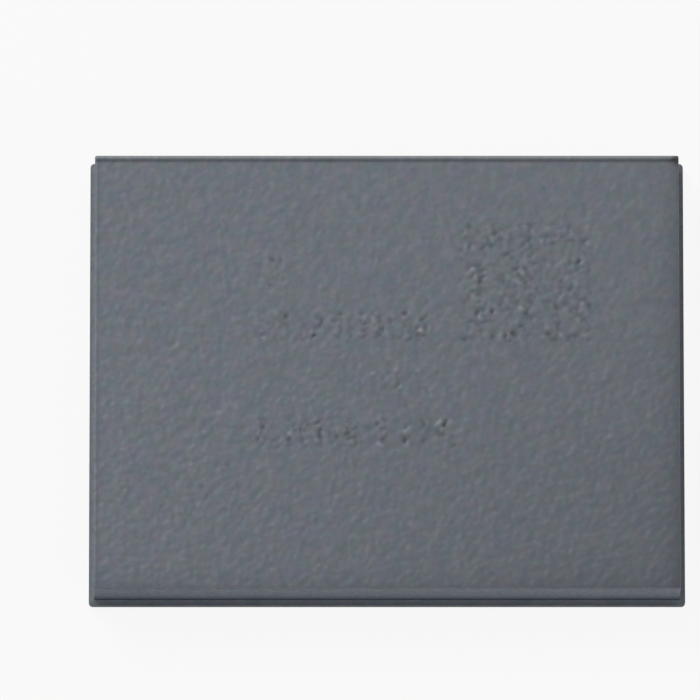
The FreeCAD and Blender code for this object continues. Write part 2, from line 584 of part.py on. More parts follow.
def radio_parts():
    """Everything that stands on the board inside the mould."""
    inner = InnerParts()

    die = block_grid("soc_die", "sizes.die_length", "sizes.die_width", "sizes.die_thickness",
                     "places.die_x", "places.die_y", "places.part_base")
    pillar_grid = ("places.pillar_x", "places.pillar_y")
    pillar_steps = ("sizes.pillar_columns", "places.pillar_pitch_x",
                    "sizes.pillar_rows", "places.pillar_pitch_y")
    pillars = prism_grid("die_pillars", "sizes.pillar_radius", "places.joint_height", *pillar_grid,
                         "places.pad_top", *pillar_steps)
    die_pads = block_grid("die_pads", "sizes.pillar_pad", "sizes.pillar_pad",
                          "sizes.copper_thickness", *pillar_grid, "places.pad_base", *pillar_steps)
    inner.nodes += [die, pillars, die_pads]
    inner.open_mask("die", "sizes.die_length", "sizes.die_width", "places.die_x", "places.die_y")

    for label, x, y in (("front_end_module_2g", "places.left_x", "places.left_amplifier_y"),
                        ("front_end_module_5g", "places.right_x", "places.right_amplifier_y")):
        inner.nodes.append(amplifier(label, x, y))
        inner.package(label, "sizes.amplifier_side", "sizes.amplifier_side", x, y, 3, 2)

    crystal_nodes, crystal_hollow = crystal()
    inner.nodes += crystal_nodes
    inner.package("crystal", "sizes.crystal_length", "sizes.crystal_width", "places.left_x",
                  "places.crystal_y", 2, 2)

    inner.nodes += bandpass_filter()
    inner.package("filter", "sizes.filter_length", "sizes.filter_width", "places.right_x",
                  "places.filter_y", 3, 2)

    for name, y in (("diplexer", "places.diplexer_y"), ("antenna_switch", "places.switch_y")):
        stem = name.split("_")[-1]
        inner.nodes.append(block_grid(name, f"sizes.{stem}_length", f"sizes.{stem}_width",
                                      f"sizes.{stem}_height", "places.right_x", y, "places.part_base"))
        inner.package(name, f"sizes.{stem}_length", f"sizes.{stem}_width", "places.right_x", y, 3, 2)

    inner.chip_row("power_inductor", "sizes.coil_length", "sizes.coil_width", "sizes.coil_height",
                   "sizes.coil_terminal", "places.left_x", "places.coil_y", True,
                   ONE, ONE, "sizes.coil_count", "places.coil_pitch")
    inner.chip_row("decoupling_capacitor", "sizes.large_chip_length", "sizes.large_chip_width",
                   "sizes.large_chip_height", "sizes.large_chip_terminal", "places.decoupling_x",
                   "places.back_y", True, "sizes.decoupling_count", "places.decoupling_pitch", ONE, ONE)
    small_chip = ("sizes.small_chip_length", "sizes.small_chip_width")
    inner.chip_row("bypass_capacitor", *small_chip, "sizes.small_chip_height", "sizes.small_chip_terminal",
                   "places.bypass_x", "places.bypass_y", True, ONE, ONE, "sizes.bypass_count",
                   "places.bypass_pitch")
    inner.chip_row("resistor", *small_chip, "sizes.resistor_height", "sizes.small_chip_terminal",
                   "places.resistor_x", "places.front_y", False, "sizes.resistor_count",
                   "places.resistor_pitch", ONE, ONE)
    inner.chip_row("matching_inductor", *small_chip, "sizes.small_chip_height", "sizes.small_chip_terminal",
                   "places.matching_x", "places.front_y", False, "sizes.matching_count",
                   "places.matching_pitch", ONE, ONE)

    pads = group("component_pads", inner.pads)
    joints = group("component_solder", inner.joints)
    inner.nodes += [pads, joints]
    return inner.nodes, inner.windows, crystal_hollow


def mould(held, windows, hollow):
    """The mould compound: it fills the mask windows and everything round the parts it holds."""
    block = plate("mould_block", "places.tier_length", "places.tier_width",
                  "places.mould_top - places.mask_top", "places.mask_top")
    filled = doc.addObject("Part::MultiFuse", "mould_and_windows")
    filled.Shapes = [block, *windows]
    return cut("mould_compound", filled, group("mould_room", [*held, hollow]))


def shield():
    """The metal skin: roof and walls round the mould and upper tier, and a foot out to the board's edge."""
    skin = new_body("emi_shield", z="places.ledge_base")
    foot = pad_block(skin, "foot", "sizes.board_length", "sizes.board_width", "sizes.shield_thickness")
    round_edges(skin, foot, "foot_corners", "sizes.board_corner", is_upright)
    outer = pad_block(skin, "cap", "places.cap_length", "places.cap_width",
                      "places.shield_top - places.ledge_base")
    roof_z = value_of("places.shield_top - places.ledge_base")
    foot_z = value_of("sizes.shield_thickness")

    def is_cap_edge(edge):
        """Whether an edge bounds the roof or is one of the cap's upright corners."""
        box = edge.BoundBox
        on_roof = abs(box.ZMin - roof_z) < foot_z / 4
        return on_roof or (is_upright(edge) and box.ZMax > roof_z - foot_z / 4)

    round_edges(skin, outer, "cap_edges", "sizes.shield_thickness", is_cap_edge)
    pocket_block(skin, "inside", "places.tier_length", "places.tier_width",
                 "places.mould_top - places.ledge_base")
    return skin


def export(nodes):
    """Checks every object and every sub-part, then writes one file for each sub-part."""
    doc.recompute()
    failed = [item.Name for item in doc.Objects if {"Invalid", "Error"} & set(item.State)]
    if failed:
        raise RuntimeError("not built: " + ", ".join(failed))
    for node in nodes:
        if node.Shape.isNull() or not node.Shape.isValid():
            raise RuntimeError(f"{node.Label} has no valid shape")
    os.makedirs("parts", exist_ok=True)
    for node in nodes:
        node.Shape.exportStep(f"parts/{node.Label}.step")


def main():
    """Builds the module from the board up and writes its pieces."""
    nodes = board()
    nodes += land_rows("lands", ZERO, "sizes.copper_thickness", "places.land_face")
    nodes += solder_rows()
    held, windows, hollow = radio_parts()
    mask = plate("upper_mask_sheet", "places.tier_length", "places.tier_width", "places.mask_depth",
                 "places.pad_base")
    nodes.append(cut("solder_mask_top", mask, group("upper_mask_room", windows)))
    nodes += held
    nodes.append(mould(held, windows, hollow))
    nodes.append(shield())
    export(nodes)


main()
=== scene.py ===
"""Looks of a shielded wireless module.

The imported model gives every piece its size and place.  This script dresses all of its pieces, models the
shield's skin and the solder pillows in finer detail, and sets up the light, the floor and the camera.
Lengths are metres.
"""

import json
import logging
import math
from dataclasses import dataclass
from enum import Enum

import bpy
import numpy as np
from mathutils import Matrix, Vector

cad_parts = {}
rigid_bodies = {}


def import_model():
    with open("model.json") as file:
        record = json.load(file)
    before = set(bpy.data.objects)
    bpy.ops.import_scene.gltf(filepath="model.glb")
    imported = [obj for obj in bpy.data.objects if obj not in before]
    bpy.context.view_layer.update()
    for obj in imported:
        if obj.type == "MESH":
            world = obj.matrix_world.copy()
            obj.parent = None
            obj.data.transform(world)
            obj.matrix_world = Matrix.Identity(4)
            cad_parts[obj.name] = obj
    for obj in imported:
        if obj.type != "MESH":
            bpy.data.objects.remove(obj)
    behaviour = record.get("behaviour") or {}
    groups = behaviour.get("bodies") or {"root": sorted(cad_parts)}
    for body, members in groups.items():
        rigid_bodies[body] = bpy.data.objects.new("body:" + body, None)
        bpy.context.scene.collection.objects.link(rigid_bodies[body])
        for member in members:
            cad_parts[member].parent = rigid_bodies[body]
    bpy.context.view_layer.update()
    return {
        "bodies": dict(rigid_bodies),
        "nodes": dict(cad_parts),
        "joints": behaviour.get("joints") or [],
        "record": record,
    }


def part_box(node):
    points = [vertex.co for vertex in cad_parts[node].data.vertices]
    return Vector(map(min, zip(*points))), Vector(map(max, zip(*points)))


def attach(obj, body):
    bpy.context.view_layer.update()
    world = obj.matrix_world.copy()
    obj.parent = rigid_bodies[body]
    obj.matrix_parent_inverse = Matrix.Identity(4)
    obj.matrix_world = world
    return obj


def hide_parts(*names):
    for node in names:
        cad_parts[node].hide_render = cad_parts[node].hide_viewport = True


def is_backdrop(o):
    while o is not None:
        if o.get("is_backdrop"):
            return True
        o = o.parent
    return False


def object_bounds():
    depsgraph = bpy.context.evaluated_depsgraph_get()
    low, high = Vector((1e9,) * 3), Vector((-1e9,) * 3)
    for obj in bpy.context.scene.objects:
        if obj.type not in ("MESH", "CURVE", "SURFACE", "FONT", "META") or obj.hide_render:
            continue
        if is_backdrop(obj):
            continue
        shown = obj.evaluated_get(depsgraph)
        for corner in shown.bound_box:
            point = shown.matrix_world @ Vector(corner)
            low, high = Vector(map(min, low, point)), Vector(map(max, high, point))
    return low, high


LOG = logging.getLogger("wireless_module")
MM = 0.001
MICRON = 0.000001
# Mesh attribute of painted light: painted shade below zero, painted highlight above zero.
PAINTED_LIGHT = "painted_light"

Colour = tuple[float, float, float, float]
Triple = tuple[float, float, float]
Pair = tuple[float, float]
Names = tuple[str, ...]
Indices = list[int]
Array = np.ndarray
Draws = np.random.Generator
Tree = bpy.types.NodeTree
Socket = bpy.types.NodeSocket
Sockets = bpy.types.bpy_prop_collection

WHITE: Colour = (1.0, 1.0, 1.0, 1.0)


def shade(*display: int) -> Colour:
    """Turns a display colour into the linear colour that a shader takes, by the standard display curve.

    Args:
        *display: Red, green and blue from 0 to 255.

    Returns:
        Linear red, green and blue, and an alpha of one.
    """
    shares = [value / 255 for value in display]
    linear = [share / 12.92 if share <= 0.04045 else ((share + 0.055) / 1.055) ** 2.4 for share in shares]
    return (*linear, 1.0)


class Plug(Enum):
    """Kinds of socket on an effect group."""

    NUMBER = "NodeSocketFloat"
    COLOUR = "NodeSocketColor"
    VECTOR = "NodeSocketVector"


class Slot(Enum):
    """The record's material slots."""

    SHIELD = "shield_metal"
    MOULD = "mould_epoxy"
    LAMINATE = "laminate"
    MASK = "solder_mask"
    COPPER = "copper"
    SOLDER = "solder"
    SILICON = "silicon"
    PACKAGE = "package_epoxy"
    ALUMINA = "alumina"
    CERAMIC = "fired_ceramic"
    TITANATE = "titanate"
    FERRITE = "ferrite"
    QUARTZ = "quartz"
    LID = "lid_metal"
    ENDS = "plated_ends"


class Spread(Enum):
    """How the roughness of a rough place is laid out."""

    FIELD = "field"
    ROW = "row"
    RING = "ring"


class Side(Enum):
    """The sides of the module, each with its own row of lands."""

    FRONT = "front"
    BACK = "back"
    LEFT = "left"
    RIGHT = "right"

    @property
    def axis(self) -> int:
        """The axis along which the side's row runs: 0 for X and 1 for Y."""
        return 0 if self in (Side.FRONT, Side.BACK) else 1


class Wiring:
    """Adds nodes to one shader tree and joins them."""

    MIX_SHARE: int = 0
    MIX_BELOW: int = 6
    MIX_ABOVE: int = 7
    MIX_RESULT: int = 2

    def __init__(self, tree: Tree) -> None:
        """Takes the tree that the nodes go into, and empties it."""
        self.tree = tree
        tree.nodes.clear()

    def add(self, kind: str, values: dict | None = None, **settings: object) -> bpy.types.Node:
        """Adds a node, sets its properties and fills or joins its inputs.

        Args:
            kind: Blender's type name of the node.
            values: By input name or number, a plain value or the output that feeds it.
            **settings: Properties of the node.

        Returns:
            The new node.
        """
        node = self.tree.nodes.new(kind)
        for name, value in settings.items():
            setattr(node, name, value)
        for name, value in (values or {}).items():
            if isinstance(value, Socket):
                self.tree.links.new(value, node.inputs[name])
            else:
                node.inputs[name].default_value = value
        return node

    def effect(self, group: Tree, values: dict) -> Sockets:
        """Places an effect group with its own values and gives its outputs."""
        return self.add("ShaderNodeGroup", values, node_tree=group).outputs

    def reckon(self, operation: str, first: object, second: object = 0.0) -> Socket:
        """Joins two values with one step of arithmetic."""
        return self.add("ShaderNodeMath", {0: first, 1: second}, operation=operation).outputs[0]

    def times(self, first: object, second: object) -> Socket:
        """Multiplies two values."""
        return self.reckon("MULTIPLY", first, second)

    def rest_of(self, share: object) -> Socket:
        """Gives what a share leaves of one."""
        return self.reckon("SUBTRACT", 1.0, share)

    def larger(self, first: object, second: object) -> Socket:
        """Gives the larger of two values."""
        return self.reckon("MAXIMUM", first, second)

    def blend(self, share: object, below: object, above: object) -> Socket:
        """Mixes two colours, from all below at a share of 0 to all above at 1."""
        values = {self.MIX_SHARE: share, self.MIX_BELOW: below, self.MIX_ABOVE: above}
        return self.add("ShaderNodeMix", values, data_type="RGBA").outputs[self.MIX_RESULT]

    def step(self, value: object, low: object, high: object) -> Socket:
        """Rises smoothly from 0 to 1 as a value goes from low to high."""
        values = {"Value": value, "From Min": low, "From Max": high}
        return self.add("ShaderNodeMapRange", values, interpolation_type="SMOOTHSTEP").outputs["Result"]

    def noise(self, place: object, scale: object, detail: float = 2.0) -> Socket:
        """Makes soft noise between 0 and 1."""
        values = {"Vector": place, "Scale": scale, "Detail": detail}
        return self.add("ShaderNodeTexNoise", values).outputs["Fac"]

    def moved(self, place: object, offset: Triple) -> Socket:
        """Shifts a position, so that a second noise differs from the first."""
        return self.add("ShaderNodeVectorMath", {0: place, 1: offset}, operation="ADD").outputs[0]

    def scaled(self, place: object, factors: object) -> Socket:
        """Scales a position along each axis."""
        return self.add("ShaderNodeVectorMath", {0: place, 1: factors}, operation="MULTIPLY").outputs[0]

    def split(self, vector: object) -> Sockets:
        """Splits a vector into X, Y and Z."""
        return self.add("ShaderNodeSeparateXYZ", {0: vector}).outputs


class EffectGroup(Wiring):
    """One shader node group while it is being built."""

    def __init__(self, name: str, inputs: dict[str, Plug], outputs: dict[str, Plug]) -> None:
        """Makes the empty group with its sockets.

        Args:
            name: The group's name.
            inputs: Kind of each input socket.
            outputs: Kind of each output socket.
        """
        super().__init__(bpy.data.node_groups.new(name, "ShaderNodeTree"))
        for way, plugs in (("INPUT", inputs), ("OUTPUT", outputs)):
            for label, plug in plugs.items():
                self.tree.interface.new_socket(name=label, in_out=way, socket_type=plug.value)
        self.given = self.add("NodeGroupInput").outputs

    def close(self, results: dict[str, Socket]) -> Tree:
        """Joins the results to the group's outputs and gives the finished group."""
        self.add("NodeGroupOutput", results)
        return self.tree


class Effects:
    """The surface effects that several finishes share.

    A ramp holds the two values between which a mask rises from 0 to 1.
    """

    PATCH_RAMP: Pair = (0.42, 0.68)
    PATCH_DETAIL: float = 3.0
    ELSEWHERE: Triple = (0.013, 0.007, 0.003)
    SPREAD_RAMP: Pair = (0.3, 0.7)
    SPREAD_FINENESS: float = 2.7
    GRAIN_FINENESS: float = 2.9
    FINE_DETAIL: float = 1.0
    FINE_SHARE: float = 0.4
    WALL_RAMP: Pair = (0.15, 0.6)
    EDGE_RAMP: Pair = (0.2, 0.6)
    ROOF_RAMP: Pair = (0.8, 0.98)

    def __init__(self) -> None:
        """Builds every group once."""
        self.patches = self._patches()
        self.grain = self._grain()
        self.upright = self._upright()

    def _patches(self) -> Tree:
        """Makes soft lighter and darker patches of colour, with a spread of roughness.

        Returns:
            The finished group.
        """
        group = EffectGroup(
            "soft_patches",
            {"Position": Plug.VECTOR, "Colour": Plug.COLOUR, "Light": Plug.COLOUR, "Dark": Plug.COLOUR,
             "Scale": Plug.NUMBER, "Strength": Plug.NUMBER, "Smooth": Plug.NUMBER, "Rough": Plug.NUMBER},
            {"Colour": Plug.COLOUR, "Roughness": Plug.NUMBER},
        )
        given = group.given
        colour = given["Colour"]
        elsewhere = group.moved(given["Position"], self.ELSEWHERE)
        for place, tone in ((given["Position"], given["Light"]), (elsewhere, given["Dark"])):
            noise = group.noise(place, given["Scale"], self.PATCH_DETAIL)
            share = group.times(group.step(noise, *self.PATCH_RAMP), given["Strength"])
            colour = group.blend(share, colour, tone)
        finer = group.noise(elsewhere, group.times(given["Scale"], self.SPREAD_FINENESS))
        roughness = group.add("ShaderNodeMapRange", {
            "Value": finer, "From Min": self.SPREAD_RAMP[0], "From Max": self.SPREAD_RAMP[1],
            "To Min": given["Smooth"], "To Max": given["Rough"],
        }).outputs["Result"]
        return group.close({"Colour": colour, "Roughness": roughness})

    def _grain(self) -> Tree:
        """Makes fine grain as a height, longer along the axes whose stretch is small.

        Returns:
            The finished group.
        """
        inputs = {"Position": Plug.VECTOR, "Stretch": Plug.VECTOR, "Scale": Plug.NUMBER}
        group = EffectGroup("fine_grain", inputs, {"Height": Plug.NUMBER})
        place = group.scaled(group.given["Position"], group.given["Stretch"])
        scale = group.given["Scale"]
        fine = group.noise(place, group.times(scale, self.GRAIN_FINENESS), self.FINE_DETAIL)
        height = group.reckon("ADD", group.noise(place, scale), group.times(fine, self.FINE_SHARE))
        return group.close({"Height": height})

    def _upright(self) -> Tree:
        """Makes masks of the upright faces and of the rounded edges between them and the level ones.

        Returns:
            The finished group.
        """
        outputs = {"Wall": Plug.NUMBER, "Edge": Plug.NUMBER}
        group = EffectGroup("upright_faces", {"Normal": Plug.VECTOR}, outputs)
        level = group.reckon("ABSOLUTE", group.split(group.given["Normal"])["Z"])
        ramps = (self.WALL_RAMP, self.EDGE_RAMP, self.ROOF_RAMP)
        off_wall, off_edge, roof = (group.step(level, *ramp) for ramp in ramps)
        edge = group.times(off_edge, group.rest_of(roof))
        return group.close({"Wall": group.rest_of(off_wall), "Edge": edge})


class Shading(Wiring):
    """The wiring of one material, with the effects and the surface's own coordinates at hand."""

    def __init__(self, tree: Tree, effects: Effects) -> None:
        """Adds the coordinates.

        Args:
            tree: The material's tree.
            effects: The shared node groups.
        """
        super().__init__(tree)
        self.effects = effects
        coordinates = self.add("ShaderNodeTexCoord").outputs
        self.place, self.normal = coordinates["Object"], coordinates["Normal"]

    def faces(self) -> Sockets:
        """Gives the masks of the upright faces and of the rounded edges."""
        return self.effect(self.effects.upright, {"Normal": self.normal})

    def grain(self, stretch: Triple, size: float) -> Socket:
        """Gives the height of a grain of one size."""
        values = {"Position": self.place, "Stretch": stretch, "Scale": 1 / size}
        return self.effect(self.effects.grain, values)["Height"]


@dataclass(frozen=True)
class Finish:
    """A surface finish: a colour with soft patches, a spread of roughness and a fine grain.

    Sizes are those of one patch or grain; grain_depth is how far the grain rises and falls.
    """

    colour: Colour
    light: Colour
    dark: Colour
    patch_size: float = 0.35 * MM
    patch_strength: float = 0.6
    smooth: float = 0.40
    rough: float = 0.60
    metallic: float = 0.0
    grain_size: float = 0.05 * MM
    grain_depth: float = 0.6 * MICRON
    stretch: Triple = (1.0, 1.0, 1.0)
    transmission: float = 0.0
    ior: float = 1.5

    def material(self, name: str, effects: Effects) -> bpy.types.Material:
        """Builds the shader.

        Args:
            name: The material's name.
            effects: The shared node groups.

        Returns:
            The finished material.
        """
        made = bpy.data.materials.new(name)
        made.use_nodes = True
        work = Shading(made.node_tree, effects)
        patches = work.effect(effects.patches, {
            "Position": work.place, "Colour": self.colour, "Light": self.light, "Dark": self.dark,
            "Scale": 1 / self.patch_size, "Strength": self.patch_strength,
            "Smooth": self.smooth, "Rough": self.rough,
        })
        bump = work.add("ShaderNodeBump", {
            "Height": self.relief(work), "Distance": self.grain_depth, "Strength": 1.0,
        })
        shader = work.add("ShaderNodeBsdfPrincipled", {
            "Base Color": self.toned(work, patches["Colour"]), "Roughness": patches["Roughness"],
            "Metallic": self.metallic, "IOR": self.ior, "Transmission Weight": self.transmission,
            "Normal": bump.outputs["Normal"],
        })
        work.add("ShaderNodeOutputMaterial", {"Surface": shader.outputs["BSDF"]})
        return made

    def toned(self, work: Shading, colour: Socket) -> Socket:
        """Leaves the patches' colour as it is."""
        return colour

    def relief(self, work: Shading) -> Socket:
        """Makes the height of the grain."""
        return work.grain(self.stretch, self.grain_size)


@dataclass(frozen=True)
class PaintedLightFinish(Finish):
    """A finish for a piece whose mesh says where it is darker, below zero, or lighter, above zero, mostly as
    painted shade and painted highlight.
    """

    # Default colours of the painted shade and the painted highlight.
    painted_shade_colour: Colour = shade(52, 54, 58)
    painted_highlight_colour: Colour = shade(140, 142, 144)

    def toned(self, work: Shading, colour: Socket) -> Socket:
        """Leans the colour towards the painted shade colour or the painted highlight colour by the mesh's
        painted light.

        Args:
            work: The material's wiring.
            colour: The colour without painted light.

        Returns:
            The colour with them.
        """
        painted_light = work.add("ShaderNodeAttribute", attribute_name=PAINTED_LIGHT).outputs["Fac"]
        dark = work.larger(work.times(painted_light, -1.0), 0.0)
        darkened = work.blend(dark, colour, self.painted_shade_colour)
        return work.blend(work.larger(painted_light, 0.0), darkened, self.painted_highlight_colour)


@dataclass(frozen=True)
class Tint:
    """A faint tint: one colour where a noise is low, one where it is high, and the noise's own offset."""

    low: Colour
    high: Colour
    offset: Triple


@dataclass(frozen=True)
class ShieldSkin(PaintedLightFinish):
    """The sputtered shield: matt grain on the roof, sawn walls with painted shade towards the foot, a painted
    highlight on the rounded roof edges.
    """

    wall: Colour = shade(81, 89, 102)
    # wall_foot is painted shade where the wall meets the ledge.
    wall_foot: Colour = shade(77, 84, 96)
    wall_streak: Colour = shade(102, 109, 119)
    streak_share: float = 0.35
    streak_ramp: Pair = (0.75, 1.1)
    # The edge colour and the share after it paint a highlight on the rounded roof edges.
    edge: Colour = shade(148, 152, 156)
    edge_highlight_share: float = 0.3
    tints: tuple[Tint, ...] = (
        Tint(shade(94, 106, 119), shade(110, 111, 113), (0.004, 0.011, 0.0)),
        Tint(shade(97, 110, 110), shade(108, 106, 116), (0.017, 0.003, 0.0)),
    )
    tint_size: float = 0.24 * MM
    tint_ramp: Pair = (0.36, 0.64)
    tint_share: float = 0.4
    foot_level: float = 0.15 * MM
    wall_level: float = 1.00 * MM
    roof_level: float = 1.12 * MM
    saw_lines: Triple = (0.10, 0.10, 1.6)
    saw_relief: float = 2.5

    def toned(self, work: Shading, colour: Socket) -> Socket:
        """Adds faint tints, the walls' painted shade towards the foot, the painted edge highlight and, last,
        the mesh's painted light.

        Args:
            work: The material's wiring.
            colour: The patches' colour.

        Returns:
            The finished colour.
        """
        for tint in self.tints:
            noise = work.noise(work.moved(work.place, tint.offset), 1 / self.tint_size)
            lean = work.blend(work.step(noise, *self.tint_ramp), tint.low, tint.high)
            colour = work.blend(self.tint_share, colour, lean)
        faces = work.faces()
        height = work.split(work.place)["Z"]
        # Painted shade: the walls darken from the wall colour to the foot colour towards the foot.
        rise = work.step(height, self.foot_level, self.wall_level)
        streaks = work.step(work.grain(self.saw_lines, self.grain_size), *self.streak_ramp)
        wall_with_painted_shade = work.blend(rise, self.wall_foot, self.wall)
        wall = work.blend(work.times(streaks, self.streak_share), wall_with_painted_shade, self.wall_streak)
        # Painted highlight on the rounded edges next to the roof.
        at_roof = work.step(height, self.wall_level, self.roof_level)
        painted_edge_highlight = work.times(work.times(faces["Edge"], at_roof), self.edge_highlight_share)
        colour = work.blend(painted_edge_highlight, work.blend(faces["Wall"], colour, wall), self.edge)
        return super().toned(work, colour)

    def relief(self, work: Shading) -> Socket:
        """Turns the grain into saw lines on the walls.

        Args:
            work: The material's wiring.

        Returns:
            The height of the roof's grain and the walls' lines.
        """
        wall = work.faces()["Wall"]
        lines = work.times(work.grain(self.saw_lines, self.grain_size), work.times(wall, self.saw_relief))
        return work.reckon("ADD", lines, work.times(super().relief(work), work.rest_of(wall)))


@dataclass(frozen=True)
class MaskFilm(Finish):
    """Solder mask: green over bare laminate, nearly black over the ground copper of the given half sizes."""

    over_copper: Colour = shade(37, 45, 48)
    half_length: float = 4.42 * MM
    half_width: float = 3.195 * MM
    border: float = 0.03 * MM
    copper_share: float = 0.85

    def toned(self, work: Shading, colour: Socket) -> Socket:
        """Darkens the film over the ground copper.

        Args:
            work: The material's wiring.
            colour: The patches' colour.

        Returns:
            The finished colour.
        """
        parts = work.split(work.place)
        share = self.copper_share
        for axis, half in (("X", self.half_length), ("Y", self.half_width)):
            reach = work.reckon("SUBTRACT", half, work.reckon("ABSOLUTE", parts[axis]))
            share = work.times(work.step(reach, -self.border, self.border), share)
        return work.blend(share, colour, self.over_copper)


@dataclass(frozen=True)
class SawnLaminate(Finish):
    """Glass-filled laminate: dark resin when seen from below, and cut fibre bundles at its sawn edges."""

    fibre: Colour = shade(92, 96, 96)
    resin: Colour = shade(72, 76, 80)
    bundle: Triple = (0.22 * MM, 0.22 * MM, 0.014 * MM)
    fibre_ramp: Pair = (0.5, 0.7)

    def toned(self, work: Shading, colour: Socket) -> Socket:
        """Draws the fibre bundles on the upright faces.

        Args:
            work: The material's wiring.
            colour: The patches' colour.

        Returns:
            The finished colour.
        """
        bundles = work.noise(work.scaled(work.place, [1 / size for size in self.bundle]), 1.0)
        sawn = work.blend(work.step(bundles, *self.fibre_ramp), self.resin, self.fibre)
        return work.blend(work.faces()["Wall"], colour, sawn)


FINISHES: dict[Slot, Finish] = {
    Slot.SHIELD: ShieldSkin(
        shade(98, 102, 111), shade(113, 116, 124), shade(83, 86, 95),
        patch_size=0.22 * MM, smooth=0.44, rough=0.58, metallic=0.8,
        grain_size=0.06 * MM, grain_depth=1.4 * MICRON,
    ),
    Slot.MOULD: Finish(
        shade(56, 57, 60), shade(74, 75, 78), shade(38, 38, 41),
        patch_size=0.08 * MM, smooth=0.55, rough=0.8, grain_size=0.03 * MM, grain_depth=2.0 * MICRON,
    ),
    Slot.LAMINATE: SawnLaminate(
        shade(30, 41, 44), shade(40, 54, 55), shade(22, 30, 33),
        patch_size=0.2 * MM, smooth=0.5, rough=0.75, grain_size=0.04 * MM, grain_depth=1.5 * MICRON,
    ),
    Slot.MASK: MaskFilm(
        shade(32, 54, 55), shade(40, 66, 65), shade(26, 44, 46),
        patch_size=0.5 * MM, patch_strength=0.5, smooth=0.34, rough=0.5,
        grain_size=0.12 * MM, grain_depth=0.8 * MICRON, ior=1.3,
    ),
    Slot.COPPER: Finish(
        shade(196, 142, 104), shade(214, 166, 128), shade(160, 104, 72),
        patch_size=0.15 * MM, smooth=0.28, rough=0.46, metallic=1.0, grain_size=0.02 * MM,
    ),
    Slot.SOLDER: PaintedLightFinish(
        shade(196, 197, 203), shade(222, 223, 228), shade(150, 151, 158),
        patch_size=0.12 * MM, patch_strength=0.5, smooth=0.16, rough=0.34, metallic=1.0,
        grain_size=0.025 * MM, grain_depth=0.8 * MICRON,
        # The pillows' painted shade and painted highlight colours.
        painted_shade_colour=shade(74, 75, 82), painted_highlight_colour=shade(240, 240, 243),
    ),
    Slot.SILICON: Finish(
        shade(84, 86, 94), shade(98, 100, 108), shade(70, 72, 80),
        patch_size=0.6 * MM, smooth=0.12, rough=0.24, metallic=0.6, grain_size=0.02 * MM,
        grain_depth=0.15 * MICRON, stretch=(1.0, 0.15, 1.0),
    ),
    Slot.PACKAGE: Finish(
        shade(62, 62, 64), shade(78, 78, 80), shade(46, 46, 48),
        patch_size=0.06 * MM, smooth=0.6, rough=0.82, grain_size=0.02 * MM, grain_depth=1.5 * MICRON,
    ),
    Slot.ALUMINA: Finish(
        shade(228, 227, 221), shade(238, 237, 232), shade(208, 206, 198),
        patch_size=0.12 * MM, smooth=0.55, rough=0.75, grain_size=0.012 * MM,
    ),
    Slot.CERAMIC: Finish(
        shade(186, 200, 208), shade(202, 214, 220), shade(162, 178, 188),
        patch_size=0.12 * MM, smooth=0.5, rough=0.7, grain_size=0.012 * MM,
    ),
    Slot.TITANATE: Finish(
        shade(170, 142, 112), shade(188, 162, 132), shade(146, 118, 90),
        patch_size=0.1 * MM, smooth=0.42, rough=0.6, grain_size=0.012 * MM,
    ),
    Slot.FERRITE: Finish(
        shade(78, 78, 82), shade(96, 96, 100), shade(58, 58, 62),
        patch_size=0.05 * MM, smooth=0.55, rough=0.8, grain_size=0.015 * MM, grain_depth=1.5 * MICRON,
    ),
    Slot.QUARTZ: Finish(
        shade(232, 236, 238), shade(240, 243, 245), shade(216, 222, 226),
        patch_size=0.3 * MM, smooth=0.1, rough=0.22, grain_size=0.02 * MM, grain_depth=0.2 * MICRON,
        transmission=0.7, ior=1.54,
    ),
    Slot.LID: Finish(
        shade(206, 200, 184), shade(220, 215, 202), shade(180, 172, 154),
        patch_size=0.15 * MM, smooth=0.24, rough=0.42, metallic=1.0, grain_size=0.02 * MM,
        stretch=(1.0, 0.12, 1.0),
    ),
    Slot.ENDS: Finish(
        shade(198, 198, 200), shade(214, 214, 216), shade(168, 168, 172),
        patch_size=0.06 * MM, smooth=0.34, rough=0.55, metallic=1.0, grain_size=0.012 * MM,
    ),
}


class Wardrobe:
    """Gives every piece the material of its slot, each material built once."""

    def __init__(self, frame: dict) -> None:
        """Reads each node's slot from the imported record.
        """
        self.effects = Effects()
        self.nodes = frame["nodes"]
        self.slots = {part["node"]: Slot(part["material_slot"]) for part in frame["record"]["subparts"]}
        self.made: dict[Slot, bpy.types.Material] = {}

    def dress(self, piece: bpy.types.Object, slot: Slot) -> None:
        """Puts a slot's material on a piece.

        Args:
            piece: The object to dress.
            slot: The slot whose finish it gets.
        """
        if slot not in self.made:
            self.made[slot] = FINISHES[slot].material(slot.value, self.effects)
        if not piece.material_slots:
            piece.data.materials.append(self.made[slot])
        for held in piece.material_slots:
            held.material = self.made[slot]

    def dress_nodes(self, *names: str, slot: Slot | None = None) -> None:
        """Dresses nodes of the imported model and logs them.

        Args:
            *names: The nodes.
            slot: The slot whose finish they get, where it isn't their own.
        """
        for name in names:
            worn = slot or self.slots[name]
            self.dress(self.nodes[name], worn)
            LOG.info("dressed %s as %s", name, worn.value)


@dataclass(frozen=True)
class Waves:
    """Random waves over a surface: how strong they are and between which lengths they lie.

    They are stretch times longer than wide, and turn is the angle in degrees between their long way and
    the columns' direction.
    """

    strength: float
    shortest: float
    longest: float
    turn: float = 0.0
    stretch: float = 1.0

    def field(self, shape: tuple[int, int], pitch: float, rng: Draws) -> Array:
        """Makes the waves.

        Args:
            shape: Rows and columns of the field.
            pitch: Distance between neighbouring values.
            rng: Source of the random numbers.

        Returns:
            The field, with a mean of zero and the strength as its standard deviation.
        """
        turn = math.radians(self.turn)
        up = np.fft.fftfreq(shape[0], pitch)[:, None]
        over = np.fft.fftfreq(shape[1], pitch)[None, :]
        along = over * math.cos(turn) + up * math.sin(turn)
        across = up * math.cos(turn) - over * math.sin(turn)
        frequency = np.hypot(along * self.stretch, across)
        kept = np.exp(-(frequency * self.shortest) ** 2) * (1 - np.exp(-(frequency * self.longest) ** 2))
        waves = np.fft.ifft2(np.fft.fft2(rng.standard_normal(shape)) * kept).real
        return self.strength * (waves / waves.std())


